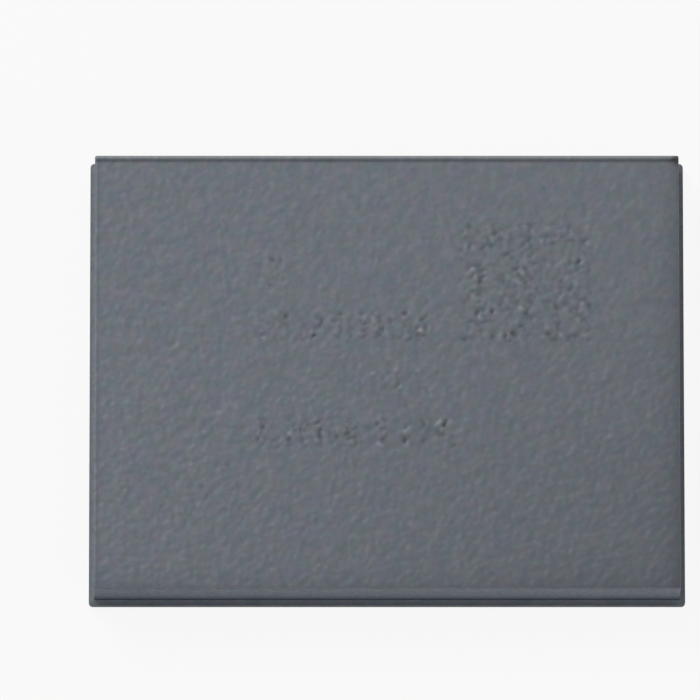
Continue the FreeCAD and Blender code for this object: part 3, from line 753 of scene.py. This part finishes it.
@dataclass(frozen=True)
class Outline:
    """A rounded rectangle about the module's axis, walked anticlockwise from its front left corner.

    Outlines with the same step counts have their points in the same order, so that a strip can join two.
    """

    half_x: float
    half_y: float
    corner: float

    def points(self, x_steps: int, y_steps: int, corner_steps: int) -> tuple[Array, Array]:
        """Places the points.

        Args:
            x_steps: Steps along each long side.
            y_steps: Steps along each short side.
            corner_steps: Steps round each corner.

        Returns:
            One X, Y row for each point, and the direction out of the rectangle there.
        """
        straight_x = self.half_x - self.corner
        straight_y = self.half_y - self.corner
        centres = ((straight_x, -straight_y), (straight_x, straight_y),
                   (-straight_x, straight_y), (-straight_x, -straight_y))
        turns = np.linspace(0, math.pi / 2, corner_steps + 1)[1:-1]
        places, directions = [], []
        for quarter, centre in enumerate(centres):
            angle = (quarter - 1) * math.pi / 2
            outwards = np.array([round(math.cos(angle)), round(math.sin(angle))])
            start = np.array(centres[quarter - 1]) + self.corner * outwards
            stop = np.array(centre) + self.corner * outwards
            steps = y_steps if quarter % 2 else x_steps
            round_corner = np.stack([np.cos(angle + turns), np.sin(angle + turns)], 1)
            places += [np.linspace(start, stop, steps + 1), np.array(centre) + self.corner * round_corner]
            directions += [np.tile(outwards, (steps + 1, 1)), round_corner]
        return np.concatenate(places), np.concatenate(directions)


class MeshDraft:
    """Collects the points and faces of one piece, and how much painted shade or painted highlight each point
    has.
    """

    def __init__(self) -> None:
        """Starts with no points."""
        self.points: list[Array] = []
        self.painted_lights: list[Array] = []
        self.faces: list[Indices] = []
        self.count = 0

    def add_points(self, points: Array, painted_lights: Array | None = None) -> Indices:
        """Adds points.

        Args:
            points: X, Y, Z rows.
            painted_lights: One for each point, none for plain ones.

        Returns:
            The points' numbers.
        """
        start = self.count
        self.points.append(points)
        self.painted_lights.append(np.zeros(len(points)) if painted_lights is None else painted_lights)
        self.count += len(points)
        return list(range(start, self.count))

    def add_grid(self, points: Array, painted_lights: Array | None = None, facing_up: bool = True) -> Array:
        """Adds a grid of points with its faces.

        Args:
            points: Rows by columns of X, Y, Z.
            painted_lights: Rows by columns, none for plain points.
            facing_up: Whether the faces look towards +Z.

        Returns:
            The points' numbers, rows by columns.
        """
        flat = None if painted_lights is None else painted_lights.ravel()
        numbers = np.array(self.add_points(points.reshape(-1, 3), flat)).reshape(points.shape[:2])
        quads = np.stack([numbers[:-1, :-1], numbers[:-1, 1:], numbers[1:, 1:], numbers[1:, :-1]], -1)
        quads = quads.reshape(-1, 4)
        self.faces += (quads if facing_up else quads[:, ::-1]).tolist()
        return numbers

    def join(self, inner: Indices, outer: Indices) -> None:
        """Joins two closed rings of equal length with a strip of faces.

        Args:
            inner: The inner ring's points; those that repeat give triangles.
            outer: The outer ring's points.
        """
        for first, (a, b) in enumerate(zip(inner, outer)):
            after = (first + 1) % len(inner)
            face = [a, b, outer[after], inner[after]]
            self.faces.append(face[:3] if face[0] == face[3] else face)

    def to_object(self, name: str, crease: float) -> bpy.types.Object:
        """Makes the mesh and its object.

        Args:
            name: The piece's name.
            crease: Angle in degrees above which an edge between two faces stays sharp.

        Returns:
            The new object, in the scene's collection.
        """
        mesh = bpy.data.meshes.new(name)
        mesh.from_pydata(np.concatenate(self.points).tolist(), [], self.faces)
        mesh.shade_smooth()
        mesh.set_sharp_from_angle(angle=math.radians(crease))
        mesh.attributes.new(PAINTED_LIGHT, "FLOAT", "POINT").data.foreach_set("value", np.concatenate(self.painted_lights))
        piece = bpy.data.objects.new(name, mesh)
        bpy.context.scene.collection.objects.link(piece)
        return piece


def border_of(numbers: Array, corner_points: int = 1) -> Indices:
    """Lists a grid's border points anticlockwise, each corner as often as it is to have points."""
    sides = (numbers[0], numbers[:, -1], numbers[-1, ::-1], numbers[::-1, 0])
    return [int(number) for side in sides for number in (*side[:-1], *[side[-1]] * (corner_points - 1))]


def smooth_step(share: Array) -> Array:
    """Rises smoothly from 0 to 1 as its argument does, and stays level outside."""
    held = np.clip(share, 0, 1)
    return held ** 2 * (3 - 2 * held)


@dataclass(frozen=True)
class RoughPlace:
    """A place on the roof where the metal is rougher than elsewhere, at random.

    Sizes are metres from the module's axis.  A ring's width is a share of its radius; a row breaks up into
    clumps with gaps between them.
    """

    spread: Spread
    x: float
    y: float
    length: float
    width: float
    strength: float
    border: float = 0.06 * MM
    ring_width: float = 0.28
    clump: Pair = (0.15 * MM, 0.25 * MM)
    clump_strength: Pair = (0.7, 1.2)
    clump_squareness: int = 6
    gaps: tuple[float, ...] = (0.05 * MM, 0.05 * MM, 0.07 * MM, 0.08 * MM, 0.24 * MM)

    def cover(self, x: Array, y: Array, rng: Draws) -> Array:
        """Works out how rough each point is.

        Args:
            x: The columns' places.
            y: The rows' places.
            rng: Source of the random numbers.

        Returns:
            Rows by columns of shares.
        """
        across, up = x - self.x, y - self.y
        if self.spread is Spread.RING:
            far = np.hypot(across[None, :] / self.length, up[:, None] / self.width) * 2
            return self.strength * np.exp(-((far - 1) / self.ring_width) ** 2)
        in_length = smooth_step((self.length / 2 - np.abs(across)) / self.border)
        in_width = smooth_step((self.width / 2 - np.abs(up)) / self.border)
        if self.spread is Spread.ROW:
            in_length *= self._clumps(across, rng)
        return self.strength * in_width[:, None] * in_length[None, :]

    def _clumps(self, across: Array, rng: Draws) -> Array:
        """Breaks a row into clumps of uneven width and strength.

        Args:
            across: The columns' places from the row's middle.
            rng: Source of the random numbers.

        Returns:
            A share for each column.
        """
        share = np.zeros_like(across)
        start = -self.length / 2
        while start < self.length / 2:
            width = rng.uniform(*self.clump)
            far = (across - (start + width / 2)) / (width / 2)
            share += rng.uniform(*self.clump_strength) * np.exp(-far ** self.clump_squareness)
            start += width + rng.choice(self.gaps)
        return share


@dataclass(frozen=True)
class Lip:
    """An upper edge of the roof: its painted highlight, and the painted shade inside it, placed in widths of
    the lip.
    """

    painted_highlight: float
    painted_shade: float
    dark_place: float
    dark_width: float
    light_width: float = 0.25


@dataclass
class RoofRelief:
    """The unevenness of the shield's roof over the cast block.

    The painted light is a small change of colour that goes with a form: below zero painted shade, above zero
    painted highlight, with a plain darkening over the rough places and at one corner as well.  The roof has a
    lip at the left and the back, and rolls off at the right and the front by a depth and a painted shade.
    """

    x: Array
    y: Array
    pitch: float
    seed: int = 20
    peel: Waves = Waves(1.5 * MICRON, 0.12 * MM, 0.60 * MM)
    grain: Waves = Waves(0.22 * MICRON, 0.05 * MM, 0.12 * MM)
    coarser_below: float = 0.7
    warp: Waves = Waves(1.4 * MICRON, 0.9 * MM, 4.0 * MM)
    streaks: Waves = Waves(0.5 * MICRON, 0.08 * MM, 0.35 * MM, turn=35, stretch=5.0)
    most_streaks: float = 1.4
    # Painted shade that deepens towards the lower right, away from the key lamp.
    lower_right_painted_shade: float = 0.13
    roughness: Waves = Waves(1.0, 0.13 * MM, 0.42 * MM)
    hollow_share: float = 1.15
    ridge_share: float = 0.75
    wear: Waves = Waves(0.35, 0.30 * MM, 0.90 * MM)
    mean_wear: float = 0.8
    wear_limits: Pair = (0.2, 1.5)
    rough_depth: float = 2.9 * MICRON
    # Painted shade in the rough hollows and painted highlight on the rough ridges.
    hollow_painted_shade: float = 0.13
    ridge_painted_highlight: float = 0.14
    rough_tone: float = 0.05
    lip_width: float = 0.055 * MM
    lip_depth: float = 4.0 * MICRON
    # Each lip has a painted highlight on its edge and painted shade inside it.
    left_lip: Lip = Lip(0.0, 0.12, 0.6, 0.4)
    back_lip: Lip = Lip(0.7, 0.75, 1.05, 0.5)
    roll_width: float = 0.10 * MM
    # Each roll is a depth and the painted shade on the slope that faces away from the key lamp.
    right_roll_and_shade: Pair = (5.0 * MICRON, 0.22)
    front_roll_and_shade: Pair = (2.5 * MICRON, 0.16)
    # A dark spot at the back right corner: its size along X and Y, then its strength.
    dark_corner: Pair = (0.08 * MM, 0.14 * MM)
    dark_corner_strength: float = 1.0
    top_percentile: float = 99.8
    deepest: float = 16.0 * MICRON
    rough_places: tuple[RoughPlace, ...] = (
        RoughPlace(Spread.RING, -2.01 * MM, 1.78 * MM, 0.46 * MM, 0.46 * MM, 1.2),
        RoughPlace(Spread.ROW, -0.70 * MM, 0.80 * MM, 3.10 * MM, 0.58 * MM, 1.55),
        RoughPlace(Spread.ROW, 0.14 * MM, -0.19 * MM, 0.95 * MM, 0.54 * MM, 1.5),
        RoughPlace(Spread.ROW, -0.54 * MM, -1.10 * MM, 3.55 * MM, 0.58 * MM, 1.55),
        RoughPlace(Spread.FIELD, 2.42 * MM, 1.58 * MM, 2.35 * MM, 2.20 * MM, 1.1),
        RoughPlace(Spread.FIELD, -3.27 * MM, -2.26 * MM, 1.60 * MM, 0.60 * MM, 0.4),
    )

    def __post_init__(self) -> None:
        """Casts the roof: waves that are coarser at the front, and streaks at the lower right, where painted
        shade also darkens it.
        """
        self.rng = np.random.default_rng(self.seed)
        half_x, half_y = self.x[-1], self.y[-1]
        grid_x, grid_y = np.meshgrid(self.x, self.y)
        self.to_right, self.to_left = half_x - grid_x, half_x + grid_x
        self.to_back, self.to_front = half_y - grid_y, half_y + grid_y
        self.surface = self._waves(self.peel) + self._waves(self.grain)
        self.surface *= 1 + self.coarser_below * self.to_back / (2 * half_y)
        self.surface += self._waves(self.warp)
        to_corner = 0.5 + 0.5 * (grid_x / half_x - grid_y / half_y)
        lower_right = np.clip(to_corner, 0, self.most_streaks) ** 2
        self.surface += lower_right * self._waves(self.streaks)
        self.painted_lights = -self.lower_right_painted_shade * lower_right

    def _waves(self, waves: Waves) -> Array:
        """Spreads waves over the roof."""
        return waves.field((len(self.y), len(self.x)), self.pitch, self.rng)

    def shape(self) -> tuple[Array, Array]:
        """Roughens the roof and shapes its edges.

        Returns:
            How far each point lies below the highest level, at most zero, and the painted light from -1 to 1.
        """
        self._roughen()
        self._shape_rim()
        highest = np.percentile(self.surface, self.top_percentile)
        return np.clip(self.surface - highest, -self.deepest, 0), np.clip(self.painted_lights, -1, 1)

    def _roughen(self) -> None:
        """Roughens the rough places, with painted shade in the hollows, painted highlight on the ridges and a
        slight plain darkening over them.
        """
        rough = self._waves(self.roughness)
        rough *= np.where(rough < 0, self.hollow_share, self.ridge_share)
        wear = np.clip(self.mean_wear + self._waves(self.wear), *self.wear_limits)
        cover = sum(place.cover(self.x, self.y, self.rng) for place in self.rough_places) * wear
        painted_tones = np.where(rough < 0, self.hollow_painted_shade, self.ridge_painted_highlight)
        self.surface += self.rough_depth * cover * rough
        self.painted_lights += cover * (rough * painted_tones - self.rough_tone)

    def _shape_rim(self) -> None:
        """Leaves the two lips with their painted highlight and shade, rolls the other two edges off with
        painted shade and darkens the back right corner.
        """
        for reach, lip in ((self.to_left, self.left_lip), (self.to_back, self.back_lip)):
            inward = reach / self.lip_width
            self.surface -= self.lip_depth * smooth_step(inward)
            self.painted_lights += lip.painted_highlight * np.exp(-(inward / lip.light_width) ** 2)
            self.painted_lights -= lip.painted_shade * np.exp(-((inward - lip.dark_place) / lip.dark_width) ** 2)
        rolls = ((self.to_right, *self.right_roll_and_shade), (self.to_front, *self.front_roll_and_shade))
        for reach, depth, painted_shade in rolls:
            self.surface -= depth * np.exp(-reach / self.roll_width)
            self.painted_lights -= painted_shade * np.exp(-reach / (2 * self.roll_width))
        from_corner = np.hypot(self.to_right / self.dark_corner[0], self.to_back / self.dark_corner[1])
        self.painted_lights -= self.dark_corner_strength * np.exp(-from_corner ** 2)


@dataclass(frozen=True)
class Ring:
    """One closed line round the shield's section: its outline, its height and what it takes of each form.

    The shares are of the roof border's relief and painted light, of the sawn lines and of the sides' own
    painted shade and light.
    """

    outline: Outline
    level: float
    roof_share: float = 0.0
    sawn_share: float = 0.0
    side_share: float = 0.0


@dataclass
class Shield:
    """The metal skin: roof, rounded edges, walls and the foot out to the board's edge."""

    skin: float = 0.020 * MM
    ledge: float = 0.095 * MM
    edge_radius: float = 0.030 * MM
    fillet: float = 0.012 * MM
    foot_corner: float = 0.070 * MM
    foot_edge: float = 0.005 * MM
    inner_corner: float = 0.002 * MM
    pitch: float = 0.0345 * MM
    corner_steps: int = 5
    edge_steps: int = 5
    wall_steps: int = 9
    fillet_steps: int = 3
    crease: float = 35.0
    saw_depth: float = 1.0 * MICRON
    saw_lines: Waves = Waves(1.0, 0.06 * MM, 0.5 * MM, stretch=4.0)
    deepest_line: float = 3.0
    # Painted shade and painted light on the foot.
    front_painted_shade: float = 0.12
    right_painted_shade: float = 0.36
    left_painted_light: float = 0.10
    seed: int = 31

    def build(self, wardrobe: Wardrobe) -> bpy.types.Object:
        """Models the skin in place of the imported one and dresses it.

        Args:
            wardrobe: Holds the finishes.

        Returns:
            The finished piece.
        """
        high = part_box("emi_shield")[1]
        flat = [half - self.ledge - self.edge_radius for half in high.xy]
        steps = [round(2 * half / self.pitch) for half in flat]
        x, y = (np.linspace(-half, half, count + 1) for half, count in zip(flat, steps))
        relief, painted_lights = RoofRelief(x, y, self.pitch).shape()

        draft = MeshDraft()
        roof = draft.add_grid(np.stack([*np.meshgrid(x, y), high.z + relief], -1), painted_lights)
        line = border_of(roof, self.corner_steps + 1)
        roof_border, border_painted_lights = relief.ravel()[line], painted_lights.ravel()[line]
        rings = self._section()
        sawn = self.saw_lines.field((len(rings), len(line)), self.pitch, np.random.default_rng(self.seed))
        for ring, lines in zip(rings, sawn):
            places, outwards = ring.outline.points(*steps, self.corner_steps)
            inset = self.saw_depth * ring.sawn_share * np.clip(1 + lines, 0, self.deepest_line)
            heights = ring.level + ring.roof_share * roof_border
            points = np.column_stack([places - outwards * inset[:, None], heights])
            # The rings carry the roof border's painted light and the sides' painted shade and light.
            ring_painted_lights = ring.roof_share * border_painted_lights + ring.side_share * self._side_painted_light(outwards)
            below = draft.add_points(points, ring_painted_lights)
            draft.join(line, below)
            line = below
        draft.faces.append(line[::-1])

        piece = draft.to_object("shield_skin", self.crease)
        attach(piece, "root")
        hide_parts("emi_shield")
        wardrobe.dress(piece, Slot.SHIELD)
        LOG.info("modelled shield_skin with %d faces", len(draft.faces))
        return piece

    def _side_painted_light(self, outwards: Array) -> Array:
        """Paints shade on the foot at the front and the right, which the wall hides from the key lamp, and a
        little painted light at the left.
        """
        right, left, front = np.clip([outwards[:, 0], -outwards[:, 0], -outwards[:, 1]], 0, 1)
        return self.left_painted_light * left - self.right_painted_shade * right - self.front_painted_shade * front

    def _section(self) -> list[Ring]:
        """Works out the section.

        Returns:
            The rings from the roof's border over the edge, down the wall, out along the foot and back inside.
        """
        low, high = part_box("emi_shield")
        cap_x, cap_y = high.x - self.ledge, high.y - self.ledge
        foot_top = low.z + self.skin

        def grown(by: float, corner: float) -> Outline:
            """Moves the wall's outline outwards."""
            return Outline(cap_x + by, cap_y + by, corner)

        rings = []
        for turn in np.linspace(0, math.pi / 2, self.edge_steps + 1)[1:]:
            out = self.edge_radius * math.sin(turn)
            level = high.z - self.edge_radius * (1 - math.cos(turn))
            rings.append(Ring(grown(out - self.edge_radius, out), level, roof_share=math.cos(turn)))
        wall_top, wall_foot = high.z - self.edge_radius, foot_top + self.fillet
        for level in np.linspace(wall_top, wall_foot, self.wall_steps + 1)[1:]:
            rings.append(Ring(grown(0.0, self.edge_radius), level, sawn_share=1.0))
        for turn in np.linspace(0, math.pi / 2, self.fillet_steps + 1)[1:]:
            out = self.fillet * (1 - math.cos(turn))
            level = foot_top + self.fillet * (1 - math.sin(turn))
            rings.append(Ring(grown(out, self.edge_radius + out), level, side_share=1.0))
        edge = self.foot_edge
        top_edge = Outline(high.x - edge, high.y - edge, self.foot_corner - edge)
        foot = Outline(high.x, high.y, self.foot_corner)
        inside = grown(-self.skin, self.inner_corner)
        return rings + [
            Ring(top_edge, foot_top, sawn_share=0.5, side_share=1.0),
            Ring(foot, foot_top - edge, sawn_share=0.8, side_share=0.5),
            Ring(foot, low.z, sawn_share=0.8),
            Ring(inside, low.z),
            Ring(inside, high.z - self.skin),
        ]


@dataclass
class SolderRing:
    """The solder pillows on the lands: flat crests worn level, sloping sides, painted light, no two quite
    alike.

    On a land, u runs across it and v along it, each from -1 to 1.  Steps, leans and crests are pairs for u
    and v, and a range holds the least and the most of a random value.
    """

    pitch: float = 0.4 * MM
    steps: tuple[int, int] = (12, 20)
    crease: float = 60.0
    seed: int = 47
    lean: Pair = (0.12, 0.10)
    most_lean: float = 0.22
    crest: Pair = (0.42, 0.62)
    crest_range: tuple[Pair, Pair] = ((0.8, 0.80), (1.15, 1.08))
    waist: float = 0.72
    flare: float = 0.4
    lowest_rise: float = 0.001
    sharpness: float = 5.0
    tilt: float = 0.02
    sag: float = 0.03
    corner: float = 0.02
    corner_squareness: int = 5
    # Painted light on each pillow: shade on the crest and the long sides, a highlight on the sloping ends.
    crest_start: float = 0.45
    crest_painted_shade: float = 0.55
    end_start: float = 0.45
    end_slope: float = 1.8
    end_range: Pair = (-0.45, 0.45)
    ends_painted_highlight: float = 0.7
    flank_range: Pair = (-1.0, 1.0)
    flanks_painted_shade: float = 0.25
    painted_light_range: Pair = (0.8, 1.25)

    def build(self, wardrobe: Wardrobe) -> list[bpy.types.Object]:
        """Models all four rows, one piece for each side of the module."""
        draws = [np.random.default_rng(self.seed + number) for number in range(len(Side))]
        return [self._row(side, rng, wardrobe) for side, rng in zip(Side, draws)]

    def _row(self, side: Side, rng: Draws, wardrobe: Wardrobe) -> bpy.types.Object:
        """Models the pillows along one side.

        Args:
            side: The side of the module.
            rng: Source of the random numbers.
            wardrobe: Holds the finishes.

        Returns:
            The finished piece.
        """
        node = f"solder_{side.value}"
        low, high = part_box(node)
        run = (high - low)[side.axis]
        width = run - round(run / self.pitch - 0.5) * self.pitch
        count = round((run - width) / self.pitch) + 1
        half = np.array(high - low) / 2
        half[side.axis] = width / 2
        draft = MeshDraft()
        for place in range(count):
            x, y, height, painted_lights = self._pillow(side, rng)
            spot = np.array((low + high) / 2)
            spot[side.axis] += place * self.pitch - (run - width) / 2
            levels = high.z - (high.z - low.z) * height
            grid = np.stack([spot[0] + x * half[0], spot[1] + y * half[1], levels], -1)
            draft.faces.append(border_of(draft.add_grid(grid, painted_lights, facing_up=False)))
        piece = draft.to_object(f"solder_pillows_{side.value}", self.crease)
        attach(piece, "root")
        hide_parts(node)
        wardrobe.dress(piece, Slot.SOLDER)
        LOG.info("modelled %d pillows for %s", count, node)
        return piece

    def _pillow(self, side: Side, rng: Draws) -> tuple[Array, Array, Array, Array]:
        """Shapes one pillow.

        Args:
            side: The side of the module, which says how its lands lie.
            rng: Source of the random numbers.

        Returns:
            X and Y from -1 to 1 over the land, the height from 0 to 1 and the painted light, rows by columns.
        """
        ways = [np.linspace(-1, 1, count + 1) for count in self.steps]
        u, v = np.meshgrid(*ways, indexing="ij" if side.axis else "xy")
        lean_u, lean_v = np.clip(rng.normal(0, self.lean), -self.most_lean, self.most_lean)
        crest_u, crest_v = np.multiply(self.crest, rng.uniform(*self.crest_range))
        rise_u = self._rise(u, lean_u, crest_u * (self.waist + self.flare * v ** 2))
        rise_v = self._rise(v, lean_v, crest_v)
        power = -self.sharpness
        rise = (rise_u ** power + rise_v ** power - 1) ** (1 / power)
        tilt = rng.normal(0, self.tilt) * u + rng.normal(0, self.tilt) * v
        height = np.sin(rise * math.pi / 2) * np.clip(1 - self.sag * rng.random() + tilt, 0, 1)

        # Painted shade on the crest and the flanks, painted highlights on the ends, each end and flank a
        # little different at random.
        crest = smooth_step((rise - self.crest_start) / (1 - self.crest_start))
        ends = smooth_step((rise_u - rise_v) * self.end_slope + self.end_start) * (1 - crest)
        ends *= 1 + rng.uniform(*self.end_range) * v
        flanks = (1 - ends) * (1 + rng.uniform(*self.flank_range) * u)
        painted_lights = self.ends_painted_highlight * ends - self.flanks_painted_shade * flanks - self.crest_painted_shade * crest
        painted_lights = np.clip(painted_lights * rng.uniform(*self.painted_light_range), -1, 1)

        pinch = 1 - self.corner * (np.abs(u) * np.abs(v)) ** self.corner_squareness
        x, y = (v, u) if side.axis else (u, v)
        return x * pinch, y * pinch, height, painted_lights

    def _rise(self, place: Array, lean: float, crest: Array | float) -> Array:
        """Tells how far up the slope a place lies, from 0 at the land's edge to 1 on the crest."""
        nearest = np.minimum((1 - place) / (1 - lean - crest), (1 + place) / (1 + lean - crest))
        return np.clip(nearest, self.lowest_rise, 1)


@dataclass
class Board:
    """The laminate board with its solder masks, its copper and its lands."""

    layers: Names = (
        "substrate_core", "prepreg_lower", "prepreg_upper", "solder_mask_bottom", "solder_mask_top",
        "ground_plane_lower", "ground_plane_upper", "centre_pour", "ground_vias",
    )
    lands: Names = ("lands_front", "lands_back", "lands_left", "lands_right")

    def dress(self, wardrobe: Wardrobe) -> None:
        """Dresses the board's own layers, and tins the lands because solder wets their sides."""
        wardrobe.dress_nodes(*self.layers)
        wardrobe.dress_nodes(*self.lands, slot=Slot.SOLDER)


@dataclass
class CastBlock:
    """The mould block and every chip that is cast into it."""

    block: str = "mould_compound"
    joints: Names = ("component_pads", "component_solder", "die_pads", "die_pillars")
    packages: Names = (
        "soc_die", "front_end_module_2g", "front_end_module_5g", "antenna_switch", "diplexer",
        "filter_base", "filter_chip", "filter_cap", "crystal_base", "quartz_blank", "crystal_lid",
    )
    chips: Names = (
        "power_inductor", "decoupling_capacitor", "bypass_capacitor", "resistor", "matching_inductor",
    )

    def dress(self, wardrobe: Wardrobe) -> None:
        """Dresses the block, the packages and both pieces of each two-ended chip."""
        chips = [f"{chip}_{piece}" for chip in self.chips for piece in ("bodies", "terminals")]
        wardrobe.dress_nodes(self.block, *self.joints, *self.packages, *chips)


@dataclass(frozen=True)
class Lamp:
    """A square soft lamp that faces the module."""

    name: str
    place: Triple
    size: float
    power: float

    def build(self) -> None:
        """Adds the lamp, out of the camera's sight."""
        light = bpy.data.lights.new(self.name, "AREA")
        light.shape = "SQUARE"
        light.size = self.size
        light.energy = self.power
        lamp = bpy.data.objects.new(self.name, light)
        lamp.location = self.place
        lamp.rotation_euler = (-Vector(self.place)).to_track_quat("-Z", "Y").to_euler()
        lamp.visible_camera = False
        bpy.context.scene.collection.objects.link(lamp)


@dataclass
class Studio:
    """Pale floor, even surroundings, soft lamps and the camera.

    The origin's column and row are its place in the photograph, in the photograph's own pixels.
    """

    floor_size: float = 0.8
    floor_gap: float = 0.5 * MICRON
    floor_colour: Colour = (0.9, 0.9, 0.9, 1.0)
    floor_glow: float = 0.9
    room_light: float = 0.27
    lamps: tuple[Lamp, ...] = (
        Lamp("key_lamp", (-76 * MM, 92 * MM, 124 * MM), 80 * MM, 0.105),
        Lamp("fill_lamp", (60 * MM, -45 * MM, 80 * MM), 60 * MM, 0.005),
    )
    elevation: float = 76.35
    distance: float = 265 * MM
    lens: float = 778.3
    sensor: float = 36.0
    nearest: float = 0.01
    furthest: float = 10.0
    picture_side: float = 700.0
    origin_column: float = 386.8
    origin_row: float = 386.55

    def build(self) -> None:
        """Sets up everything round the module."""
        bpy.context.scene.view_settings.view_transform = "Standard"
        self._lay_floor()
        self._fill_room()
        for lamp in self.lamps:
            lamp.build()
        self._place_camera()
        LOG.info("set up the floor, %d lamps and the camera", len(self.lamps))

    @staticmethod
    def _seen(wires: Wiring) -> Socket:
        """Is 1 for rays that show the surroundings.

        Args:
            wires: The tree's wiring.

        Returns:
            The mask of rays straight from the camera, in gloss or through glass.
        """
        path = wires.add("ShaderNodeLightPath").outputs
        mirrored = wires.larger(path["Is Glossy Ray"], path["Is Transmission Ray"])
        return wires.larger(path["Is Camera Ray"], mirrored)

    def _lay_floor(self) -> None:
        """Lays the floor under the solder's tips; it looks white and keeps the module's shadow."""
        half, level = self.floor_size / 2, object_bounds()[0].z - self.floor_gap
        draft = MeshDraft()
        draft.add_grid(np.array([[(x, y, level) for x in (-half, half)] for y in (-half, half)]))
        floor = draft.to_object("floor", crease=30)
        floor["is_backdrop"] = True
        paint = bpy.data.materials.new("floor_paint")
        paint.use_nodes = True
        wires = Wiring(paint.node_tree)
        plain = wires.add("ShaderNodeBsdfDiffuse", {"Color": self.floor_colour}).outputs[0]
        glow = wires.add("ShaderNodeEmission", {"Color": WHITE, "Strength": 1.0}).outputs[0]
        share = wires.times(self._seen(wires), self.floor_glow)
        mixed = wires.add("ShaderNodeMixShader", {0: share, 1: plain, 2: glow})
        wires.add("ShaderNodeOutputMaterial", {"Surface": mixed.outputs[0]})
        floor.data.materials.append(paint)

    def _fill_room(self) -> None:
        """Lights the module evenly from all round, in front of a white background."""
        world = bpy.data.worlds.new("room")
        world.use_nodes = True
        wires = Wiring(world.node_tree)
        light = wires.add("ShaderNodeBackground", {"Color": WHITE, "Strength": self.room_light}).outputs[0]
        backdrop = wires.add("ShaderNodeBackground", {"Color": WHITE, "Strength": 1.0}).outputs[0]
        mixed = wires.add("ShaderNodeMixShader", {0: self._seen(wires), 1: light, 2: backdrop})
        wires.add("ShaderNodeOutputWorld", {"Surface": mixed.outputs[0]})
        bpy.context.scene.world = world

    def _place_camera(self) -> None:
        """Aims the camera so that the module's origin lies where it does in the photograph."""
        angle = math.radians(self.elevation)
        back = Vector((0.0, -math.cos(angle), math.sin(angle)))
        right = Vector((1.0, 0.0, 0.0))
        up = Vector((0.0, math.sin(angle), math.cos(angle)))
        pixels_per_metre = self.lens / self.sensor * self.picture_side / self.distance
        middle = self.picture_side / 2
        aim = right * (middle - self.origin_column) + up * (self.origin_row - middle)
        turned = Matrix((right, up, back)).transposed().to_4x4()
        camera = bpy.data.objects.new("camera", bpy.data.cameras.new("camera"))
        camera.data.lens = self.lens
        camera.data.sensor_width = self.sensor
        camera.data.clip_start = self.nearest
        camera.data.clip_end = self.furthest
        camera.matrix_world = Matrix.Translation(aim / pixels_per_metre + back * self.distance) @ turned
        bpy.context.scene.collection.objects.link(camera)
        bpy.context.scene.camera = camera


def main() -> None:
    """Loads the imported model, dresses it and sets up the studio."""
    logging.basicConfig(level=logging.INFO, format="%(message)s")
    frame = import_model()
    wardrobe = Wardrobe(frame)
    Board().dress(wardrobe)
    CastBlock().dress(wardrobe)
    SolderRing().build(wardrobe)
    Shield().build(wardrobe)
    Studio().build()


if __name__ == "__main__":
    main()
